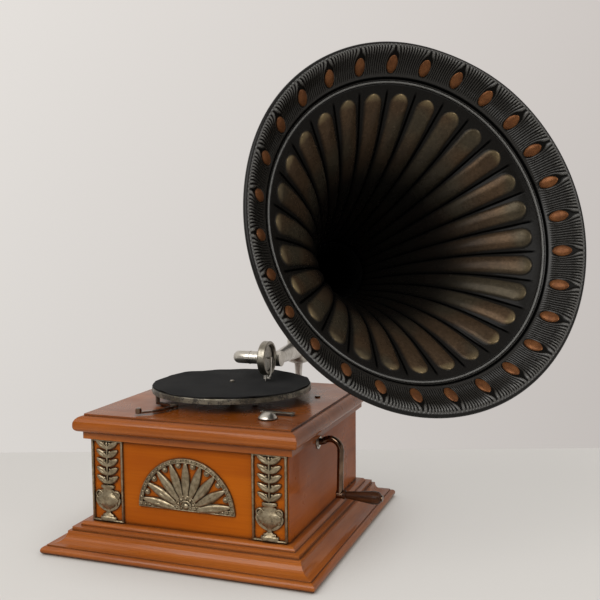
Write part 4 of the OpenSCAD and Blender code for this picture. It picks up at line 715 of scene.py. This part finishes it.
channel_r = SEAM_R + 2 * BEAD_R
front_line = arc_points(SEAM_R + BEAD_R, -SEAM_S + 1.1, BEAD_R, 205, 5, 7)
front_line += [(channel_r + 0.9, flange_at(0.10)[1] - 1.7), (channel_r + 2.4, flange_at(0.14)[1] - 1.5)]
front_line += [flange_at(0.17 + 0.76 * i / FACE_STEPS) for i in range(FACE_STEPS + 1)]
front_line += arc_points(CONE_R, -ROLL_R, ROLL_R, 105, -140, 10)
back_line = [(CONE_R - 3.4, -ROLL_R - 2.2), (SEAM_R + 1, -SEAM_S - 0.9), (SEAM_R, -SEAM_S - 0.8)]

flange = bmesh.new()
place_map = flange.verts.layers.float.new("outward")
lines_map = flange.loops.layers.uv.new("lines")
ring = [flange.verts.new((r, 0, z)) for r, z in front_line + back_line]
edges = [flange.edges.new(pair) for pair in zip(ring, ring[1:] + ring[:1])]
spin_share(flange, ring + edges, FLANGE_STEPS)
bmesh.ops.rotate(flange, cent=(0, 0, 0), matrix=Matrix.Rotation(-sector / 2, 3, "Z"), verts=flange.verts)
for face in flange.faces:
    for loop in face.loops:
        turn, r = polar(loop.vert.co)
        loop[lines_map].uv = (turn / sector, (r - oval_r) / share_mm)
cone_tilt = math.atan2(SEAM_S - LIP_S, CONE_R - SEAM_R)
lift = Vector((-math.sin(cone_tilt), 0, math.cos(cone_tilt)))
for vert in flange.verts:
    turn, r = polar(vert.co)
    t = (r - SEAM_R) / (CONE_R - SEAM_R)
    front = vert.co.z > -SEAM_S - 0.5 + (SEAM_S - LIP_S - 3.0) * t
    if t < RIBS_END[1]:
        front = front and vert.co.z > flange_at(t)[1] - 2.5
    vert[place_map] = t if front else BACK_MARK
    wave = rib_wave(turn, r) * ease(t, *RIBS_START) * (1 - ease(t, *RIBS_END)) if front else 0.0
    rise = wave * (RIB_RISE + RIB_GAIN * ease(t, 0.62, 0.82))
    vert.co += Vector((lift.x * math.cos(turn), lift.x * math.sin(turn), lift.z)) * rise
spin_copies(flange)
bmesh.ops.remove_doubles(flange, verts=flange.verts, dist=0.002)
bmesh.ops.recalc_face_normals(flange, faces=flange.faces)
for vert in flange.verts:
    dent(vert.co)
print("flange:", len(flange.verts), "vertices,", len(flange.faces), "faces")

# %% [markdown]
# The paint repeats the formula of the ribs in nodes, from the UV map "lines", and so finds the crests, where it
# is worn, and the valleys, which are darker as painted shade. The attribute "outward" says how far out on the face
# a point lies: the bead first, then a channel painted black as shade, the ribs, their ends on the crest, paler as
# bared metal and painted highlight, and the roll, darker as painted shade.

# %% Paint the flange
FACE_BLACK, VALLEY_SHADE_BLACK = (0.0120, 0.0110, 0.0096, 1), (0.0036, 0.0033, 0.0029, 1)
CREST_BLACK, ROLL_SHADE_BLACK = (0.0175, 0.0160, 0.0136, 1), (0.0075, 0.0071, 0.0066, 1)
BARED_METAL_AND_HIGHLIGHT, BEAD_METAL = (0.078, 0.0755, 0.070, 1), (0.105, 0.103, 0.097, 1)
pressed, tree, shader = new_finish("pressed_black")
coords = put(tree, "TexCoord", out=3)
side_share, out_share, _ = split(tree, put(tree, "UVMap", uv_map="lines"))
oval_x = calc(tree, "DIVIDE", times(tree, out_share, FACE_STRETCH * share_mm), OVAL_LONG)
oval_y = calc(tree, "DIVIDE", times(tree, side_share, share_mm), OVAL_WIDE)
reach = weigh(tree, (oval_x, oval_x), (oval_y, oval_y))
calm = calc(tree, "SUBTRACT", 1.0, times(tree, times(tree, side_share, side_share), 4.0))
stream = calc(tree, "SUBTRACT", 1.0, calc(tree, "DIVIDE", calm, calc(tree, "MAXIMUM", reach, 1.0)))
stream = times(tree, times(tree, stream, side_share), 2 * math.pi * RIBS)
outward = put(tree, "Attribute", out=2, attribute_name="outward")
drawn = times(tree, between(tree, outward, *RIBS_START), between(tree, outward, *reversed(RIBS_END)))
ridge = times(tree, calc(tree, "COSINE", calc(tree, "ADD", stream, math.pi)), drawn)
dust = speckle(tree, coords, 30.0, 5.0, 0.62)
fine = speckle(tree, coords, 420.0, 3.0)
crest = times(tree, between(tree, ridge, 0.1, 1.0), spread(tree, dust, 0.5, 1.0, 0.35, 0.7))
# Painted shade: the valleys between the ribs are darker.
colour = mix(tree, between(tree, ridge, 0.0, -0.8), FACE_BLACK, VALLEY_SHADE_BLACK)
colour = mix(tree, crest, colour, CREST_BLACK)
# Bared metal and painted highlight: the rib crests on the band just inside the roll are paler.
lip = times(tree, between(tree, outward, 0.68, 0.84), between(tree, outward, 1.0, 0.96))
bared_and_highlight = times(tree, lip, between(tree, ridge, -0.5, 0.4))
colour = mix(tree, times(tree, bared_and_highlight, 0.9), colour, BARED_METAL_AND_HIGHLIGHT)
# Painted shade: the channel beside the bead is painted black.
channel = times(tree, between(tree, outward, 0.095, 0.115), between(tree, outward, 0.19, 0.15))
colour = mix(tree, channel, colour, RECESS_SHADE_BLACK)
# Painted shade: the rolled edge is a darker black.
rolled = between(tree, outward, 0.97, 1.02)
colour = mix(tree, rolled, colour, ROLL_SHADE_BLACK)
bead = times(tree, between(tree, outward, 0.095, 0.07), spread(tree, dust, 0.55, 0.9))
colour = mix(tree, bead, colour, BEAD_METAL)
gloss = spread(tree, between(tree, ridge, 0.1, -0.7), 0.26, 0.03, 0.0, 1.0)
gloss = times(tree, gloss, calc(tree, "SUBTRACT", 1.0, times(tree, rolled, 0.5)))
gloss = times(tree, gloss, calc(tree, "SUBTRACT", 1.0, channel))
wire(tree, shader, {"Base Color": colour, "Roughness": spread(tree, dust, 0.20, 0.30), "Specular IOR Level": gloss})
emboss(tree, shader, 0.5, 0.0006, weigh(tree, (ridge, 0.5), (fine, 0.06)))
flange_piece = make_piece("pressed_flange", flange, "horn", [pressed], to_bell, smooth_angle=50)
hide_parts("horn_flange")
print("flange painted; ribs to each oval:", RIBS)

# %% [markdown]
# ## Copper ovals
# Each oval is a low almond-shaped boss, copper on black. A sphere is squeezed to an oval, drawn to points a
# little, cut off just below its middle and laid on the flange, and then copied round with spin.

# %% Model the ovals
OVAL_SIZE, OVAL_POINT, OVAL_CUT = (14.0, 8.2, 3.0), 0.12, -0.15
COPPER, DULL_COPPER, COPPER_PIT = (0.135, 0.053, 0.019, 1), (0.085, 0.032, 0.012, 1), (0.03, 0.02, 0.012, 1)
ovals = bmesh.new()
bmesh.ops.create_uvsphere(ovals, u_segments=28, v_segments=14, radius=1.0)
bmesh.ops.bisect_plane(
    ovals, geom=ovals.verts[:] + ovals.edges[:] + ovals.faces[:], plane_co=(0, 0, OVAL_CUT), plane_no=(0, 0, -1),
    clear_outer=True,
)
for vert in ovals.verts:
    vert.co.y *= 1.0 - OVAL_POINT * vert.co.x ** 2
bmesh.ops.scale(ovals, vec=OVAL_SIZE, verts=ovals.verts)
seat_low, seat_high = flange_at(OVAL_T - 0.1), flange_at(OVAL_T + 0.1)
seat_tilt = math.atan2(seat_high[1] - seat_low[1], seat_high[0] - seat_low[0])
lay = Matrix.Translation((oval_r, 0, oval_z)) @ Matrix.Rotation(-seat_tilt, 4, "Y") @ Matrix.Translation((0, 0, 0.3))
bmesh.ops.transform(ovals, matrix=lay, verts=ovals.verts)
spin_copies(ovals)
bmesh.ops.recalc_face_normals(ovals, faces=ovals.faces)
for vert in ovals.verts:
    dent(vert.co)
copper = old_metal("copper_oval", COPPER, DULL_COPPER, 0.32, 0.25, COPPER_PIT, cloud_scale=90, grime_and_shade=0.9, metal=0.45)
oval_piece = make_piece("copper_ovals", ovals, "horn", [copper], to_bell, smooth_angle=60)
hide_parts("horn_ovals")
print("ovals:", len(oval_piece.data.polygons), "faces")

# %% [markdown]
# ## Felt
# The felt is old and dry: its edge has curled up and down and no longer follows the rim. Slow waves lift and
# push the points on the edge of a disc, a finer noise frays them, and extruding gives the disc its thickness. The
# fuzz is a fine bump with a little sheen.

# %% Model the felt
FELT_Z, FELT_R, FELT_THICK = 226.4, 124.6, 1.35
FELT_BLACK, FELT_FADED, LINT = (0.010, 0.010, 0.0105, 1), (0.019, 0.0187, 0.0182, 1), (0.12, 0.115, 0.105, 1)
felt = bmesh.new()
bmesh.ops.create_circle(felt, cap_ends=True, radius=FELT_R, segments=180)
for vert in felt.verts:
    turn = math.atan2(vert.co.y, vert.co.x)
    wave = math.sin(5 * turn + 0.7) + 0.7 * math.sin(9 * turn + 2.1) + 0.6 * math.sin(16 * turn + 4.0)
    ruffle = noise.noise(Vector((vert.co.x * 0.03, vert.co.y * 0.03, 1.7)))
    vert.co.z = max(-0.1, 0.75 * wave + 0.4) + 0.25 * ruffle + 0.25
    fray = noise.noise(Vector((26 * math.cos(turn), 26 * math.sin(turn), 4.2)))
    push = 0.55 * math.sin(7 * turn + 1.3) + 0.5 * math.sin(12 * turn) - 0.8 + 0.9 * fray
    vert.co.x += push * math.cos(turn)
    vert.co.y += push * math.sin(turn)
wall_geom = bmesh.ops.extrude_face_region(felt, geom=felt.faces[:])
lifted = [g for g in wall_geom["geom"] if isinstance(g, bmesh.types.BMVert)]
bmesh.ops.translate(felt, vec=(0, 0, FELT_THICK), verts=lifted)
bmesh.ops.recalc_face_normals(felt, faces=felt.faces)
felt_cloth, tree, shader = new_finish("black_felt")
coords = put(tree, "TexCoord", out=3)
fuzz = speckle(tree, coords, 900.0, 5.0, 0.75)
faded = speckle(tree, coords, 16.0)
lint = between(tree, speckle(tree, coords, 260.0, 3.0), 0.68, 0.74)
colour = mix(tree, between(tree, faded, 0.3, 0.72), FELT_BLACK, FELT_FADED)
wire(tree, shader, {
    "Base Color": mix(tree, times(tree, lint, 0.35), colour, LINT), "Roughness": 0.95,
    "Specular IOR Level": 0.04, "Sheen Weight": 0.02, "Sheen Roughness": 0.6,
})
emboss(tree, shader, 0.6, 0.0007, fuzz)
on_platter = Matrix.Scale(MM, 4) @ Matrix.Translation((0, 0, FELT_Z))
felt_piece = make_piece("curled_felt", felt, "turntable", [felt_cloth], on_platter, smooth_angle=50)
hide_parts("felt")
print("felt:", len(felt_piece.data.polygons), "faces")

# %% [markdown]
# ## Raised ornament
# The two tall panels and the half-round one are thin pressed metal, and pressing raises the middle of every leaf,
# the belly of the urn and a cord round the edge. The flat CAD plates give the outline. Each raised form starts from
# a sphere, a turned profile or a bar, is pulled to shape, and is flattened where it lies on the plate.


# %% Forms of the ornament
SINK = -0.5
POLES_ALONG_X = Matrix.Rotation(math.pi / 2, 4, "Y")


def add_shape(whole, part, place):
    """Lays a part, made with Z out of the panel, into the whole ornament."""
    for vert in part.verts:
        vert.co.z = max(vert.co.z, SINK)
    bmesh.ops.transform(part, matrix=place, verts=part.verts)
    bmesh.ops.recalc_face_normals(part, faces=part.faces)
    step = bpy.data.meshes.new("step")
    part.to_mesh(step)
    part.free()
    whole.from_mesh(step)
    bpy.data.meshes.remove(step)


def at(u, v, degrees=0.0):
    return Matrix.Translation((u, v, 0)) @ Matrix.Rotation(math.radians(degrees), 4, "Z")


def domed_leaf(whole, length, width, height, place, veins=7):
    part = bmesh.new()
    bmesh.ops.create_uvsphere(part, u_segments=24, v_segments=10, radius=1.0, matrix=POLES_ALONG_X)
    for vert in part.verts:
        a, b, c = vert.co
        rib = math.exp(-((b / 0.16) ** 2)) * (1 - a * a)
        vein = 0.10 * math.cos(veins * math.pi * (a - abs(b) * 0.8)) * min(1.0, abs(b) * 3) * (1 - a * a)
        vert.co = Vector((a * length / 2, b * (1 - 0.3 * a * a) * width / 2, c * height * (1 - 0.45 * rib + vein)))
    add_shape(whole, part, place)


def boss(whole, u, v, r, height):
    part = bmesh.new()
    bmesh.ops.create_icosphere(part, subdivisions=2, radius=r)
    bmesh.ops.scale(part, vec=(1, 1, height / r), verts=part.verts)
    add_shape(whole, part, at(u, v))


def turned_form(whole, profile, flat, place):
    """A lathe form whose axis lies up the panel, pressed to a share of its depth."""
    part = bmesh.new()
    line = [part.verts.new((r, v, 0)) for r, v in profile]
    rim = [part.edges.new(pair) for pair in zip(line, line[1:])]
    bmesh.ops.spin(
        part, geom=line + rim, cent=(0, 0, 0), axis=(0, 1, 0), angle=2 * math.pi, steps=32, dvec=(0, 0, 0),
        use_merge=True,
    )
    bmesh.ops.remove_doubles(part, verts=part.verts, dist=0.001)
    bmesh.ops.scale(part, vec=(1, 1, flat), verts=part.verts)
    add_shape(whole, part, place)


def round_bar(whole, a, b, r, height):
    """A half-round bar from a to b with round ends."""
    run = Vector(b) - Vector(a)
    part = bmesh.new()
    bmesh.ops.create_uvsphere(part, u_segments=12, v_segments=8, radius=r, matrix=POLES_ALONG_X)
    for vert in part.verts:
        vert.co.x += run.length / 2 if vert.co.x > 0.01 * r else -run.length / 2 if vert.co.x < -0.01 * r else 0
        vert.co.z *= height / r
    middle = (Vector(a) + Vector(b)) / 2
    add_shape(whole, part, at(middle.x, middle.y, math.degrees(math.atan2(run.y, run.x))))


def bent_bar(whole, u, v, radius, r, height, a0, a1):
    """A half-round bar bent to an arc round a point."""
    part = bmesh.new()
    bmesh.ops.create_circle(part, segments=10, radius=r)
    bmesh.ops.rotate(part, cent=(0, 0, 0), matrix=Matrix.Rotation(math.pi / 2, 3, "X"), verts=part.verts)
    bmesh.ops.scale(part, vec=(1, 1, height / r), verts=part.verts)
    bmesh.ops.translate(part, vec=(radius, 0, 0), verts=part.verts)
    full = a1 - a0 >= 360
    bmesh.ops.spin(
        part, geom=part.verts[:] + part.edges[:], cent=(0, 0, 0), axis=(0, 0, 1), angle=math.radians(a1 - a0),
        steps=max(12, int((a1 - a0) / 5)), dvec=(0, 0, 0), use_merge=full,
    )
    if not full:
        bmesh.ops.holes_fill(part, edges=[e for e in part.edges if e.is_boundary])
    add_shape(whole, part, at(u, v, a0))


print("ornament forms ready")

# %% [markdown]
# Each tall panel has a cord round its edge, an urn with leaves on its belly and two ring handles, and a vine that
# climbs from it in pairs of leaves with berries between them. The same loop makes the left and the right one.

# %% Tall panels: urn and climbing vine
BORDER, VINE_Z, PAIRS, URN_FLAT = 3.2, 50.0, 5, 0.24
# Radius and height along the urn's side, in mm
urn_profile = [
    (0.01, 0), (13, 0), (13, 3.6), (12, 4.8), (9.6, 5.2), (9, 8.2), (5.5, 9.4), (3.2, 11.5), (3, 15), (5, 17.2),
    (10, 20.2), (15.5, 25), (18, 29.5), (17.2, 33), (13, 37.2), (8.4, 40.5), (7, 43.5), (7.2, 46.6), (9.5, 47.8),
    (11, 49), (11, 51.6), (9.5, 52.6), (0.01, 52.6),
]
for panel_name in ("left_panel", "right_panel"):
    low, high = (Vector(corner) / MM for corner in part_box(panel_name))
    wide, tall = high.x - low.x, high.z - low.z
    raised = bmesh.new()
    half, lead = wide / 2 - BORDER / 2, BORDER / 2
    corners = [(-half, lead), (half, lead), (half, tall - lead), (-half, tall - lead)]
    for a, b in zip(corners, corners[1:] + corners[:1]):
        round_bar(raised, a, b, r=BORDER / 2 - 0.1, height=1.3)
    turned_form(raised, urn_profile, URN_FLAT, at(0, BORDER - 0.5))
    for turn in range(-3, 4):
        belly = Matrix.Translation((turn * 4.3, BORDER + 28.0 - abs(turn) * 0.6, 3.6 - 0.30 * turn * turn))
        domed_leaf(raised, length=11, width=4.2, height=1.0, place=belly @ at(0, 0, 90 + turn * 9), veins=3)
    for side in (-1, 1):
        bent_bar(raised, side * 14, BORDER + 37.5, radius=5.2, r=1.25, height=1.5, a0=0, a1=360)
    round_bar(raised, (0, VINE_Z + 3), (0, tall - BORDER - 1), r=1.4, height=1.6)
    leaf_step = (tall - BORDER - VINE_Z) / (PAIRS + 0.4)
    for i in range(PAIRS):
        foot = VINE_Z + (i + 0.6) * leaf_step
        for side, lean in ((1, 32), (-1, 148)):
            lay = at(0, foot) @ at(0, 0, lean) @ at(10, 0)
            domed_leaf(raised, length=21.5, width=8.8, height=2.1, place=lay)
            boss(raised, side * 4.6, foot + 0.62 * leaf_step, r=1.9, height=2.0)
    boss(raised, 0, tall - BORDER - 3.0, r=2.4, height=2.2)
    upright = Matrix.Translation((low.x + wide / 2, low.y, low.z)) @ Matrix.Rotation(math.pi / 2, 4, "X")
    to_panel = Matrix.Scale(MM, 4) @ upright
    piece = make_piece(panel_name + "_relief", raised, "case", [pewter], to_panel, smooth_angle=55)
    print(piece.name, len(piece.data.polygons), "faces")

# %% [markdown]
# The half-round panel has a beaded arch and a beaded rail, with a fan of petals that opens from a heart of rings
# and bosses between them.

# %% Half-round panel: fan and beaded arch
RAIL_H, ARCH_W, PETALS, HEART_R = 8.0, 6.5, 9, 17.0
ARCH_BEADS, RAIL_BEADS, HEART_BEADS, HEART_BEAD_R = 27, 21, 5, 12.4
low, high = (Vector(corner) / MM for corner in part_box("lunette_panel"))
fan_r = (high.x - low.x) / 2
raised = bmesh.new()
for r in (fan_r - 0.9, fan_r - ARCH_W + 0.9):
    bent_bar(raised, 0, 0, radius=r, r=0.9, height=1.2, a0=4, a1=176)
for i in range(ARCH_BEADS):
    angle, r = math.pi * (i + 0.8) / (ARCH_BEADS + 0.6), fan_r - ARCH_W / 2
    boss(raised, r * math.cos(angle), r * math.sin(angle), r=2.0, height=1.8)
petal_len = fan_r - ARCH_W - HEART_R + 5
for i in range(PETALS):
    lay = at(0, 0, 180 * (i + 0.5) / PETALS) @ at(HEART_R - 2.5 + petal_len / 2, 0)
    domed_leaf(raised, length=petal_len - 0.8, width=12.6, height=2.5, place=lay, veins=9)
for i in range(1, PETALS):
    angle, r = math.pi * i / PETALS, fan_r - ARCH_W - 3.5
    boss(raised, r * math.cos(angle), r * math.sin(angle), r=3.0, height=2.0)
for ring_r, height in ((HEART_R - 1.2, 1.5), (HEART_R - 8.0, 2.4)):
    bent_bar(raised, 0, RAIL_H - 2, radius=ring_r, r=1.3, height=height, a0=0, a1=180)
for i in range(HEART_BEADS):
    angle, r = math.pi * (i + 0.5) / HEART_BEADS, HEART_BEAD_R
    boss(raised, r * math.cos(angle), RAIL_H - 2 + r * math.sin(angle), r=2.4, height=2.2)
boss(raised, 0, RAIL_H - 1, r=5.0, height=3.0)
for v in (1.0, RAIL_H - 1.0):
    round_bar(raised, (-fan_r + 1.2, v), (fan_r - 1.2, v), r=0.9, height=1.2)
for i in range(RAIL_BEADS):
    boss(raised, (i - 10) * (fan_r - 4) / 10, RAIL_H / 2, r=2.0, height=1.6)
upright = Matrix.Translation((low.x + fan_r, low.y, low.z)) @ Matrix.Rotation(math.pi / 2, 4, "X")
to_panel = Matrix.Scale(MM, 4) @ upright
piece = make_piece("lunette_relief", raised, "case", [pewter], to_panel, smooth_angle=55)
print(piece.name, len(piece.data.polygons), "faces")
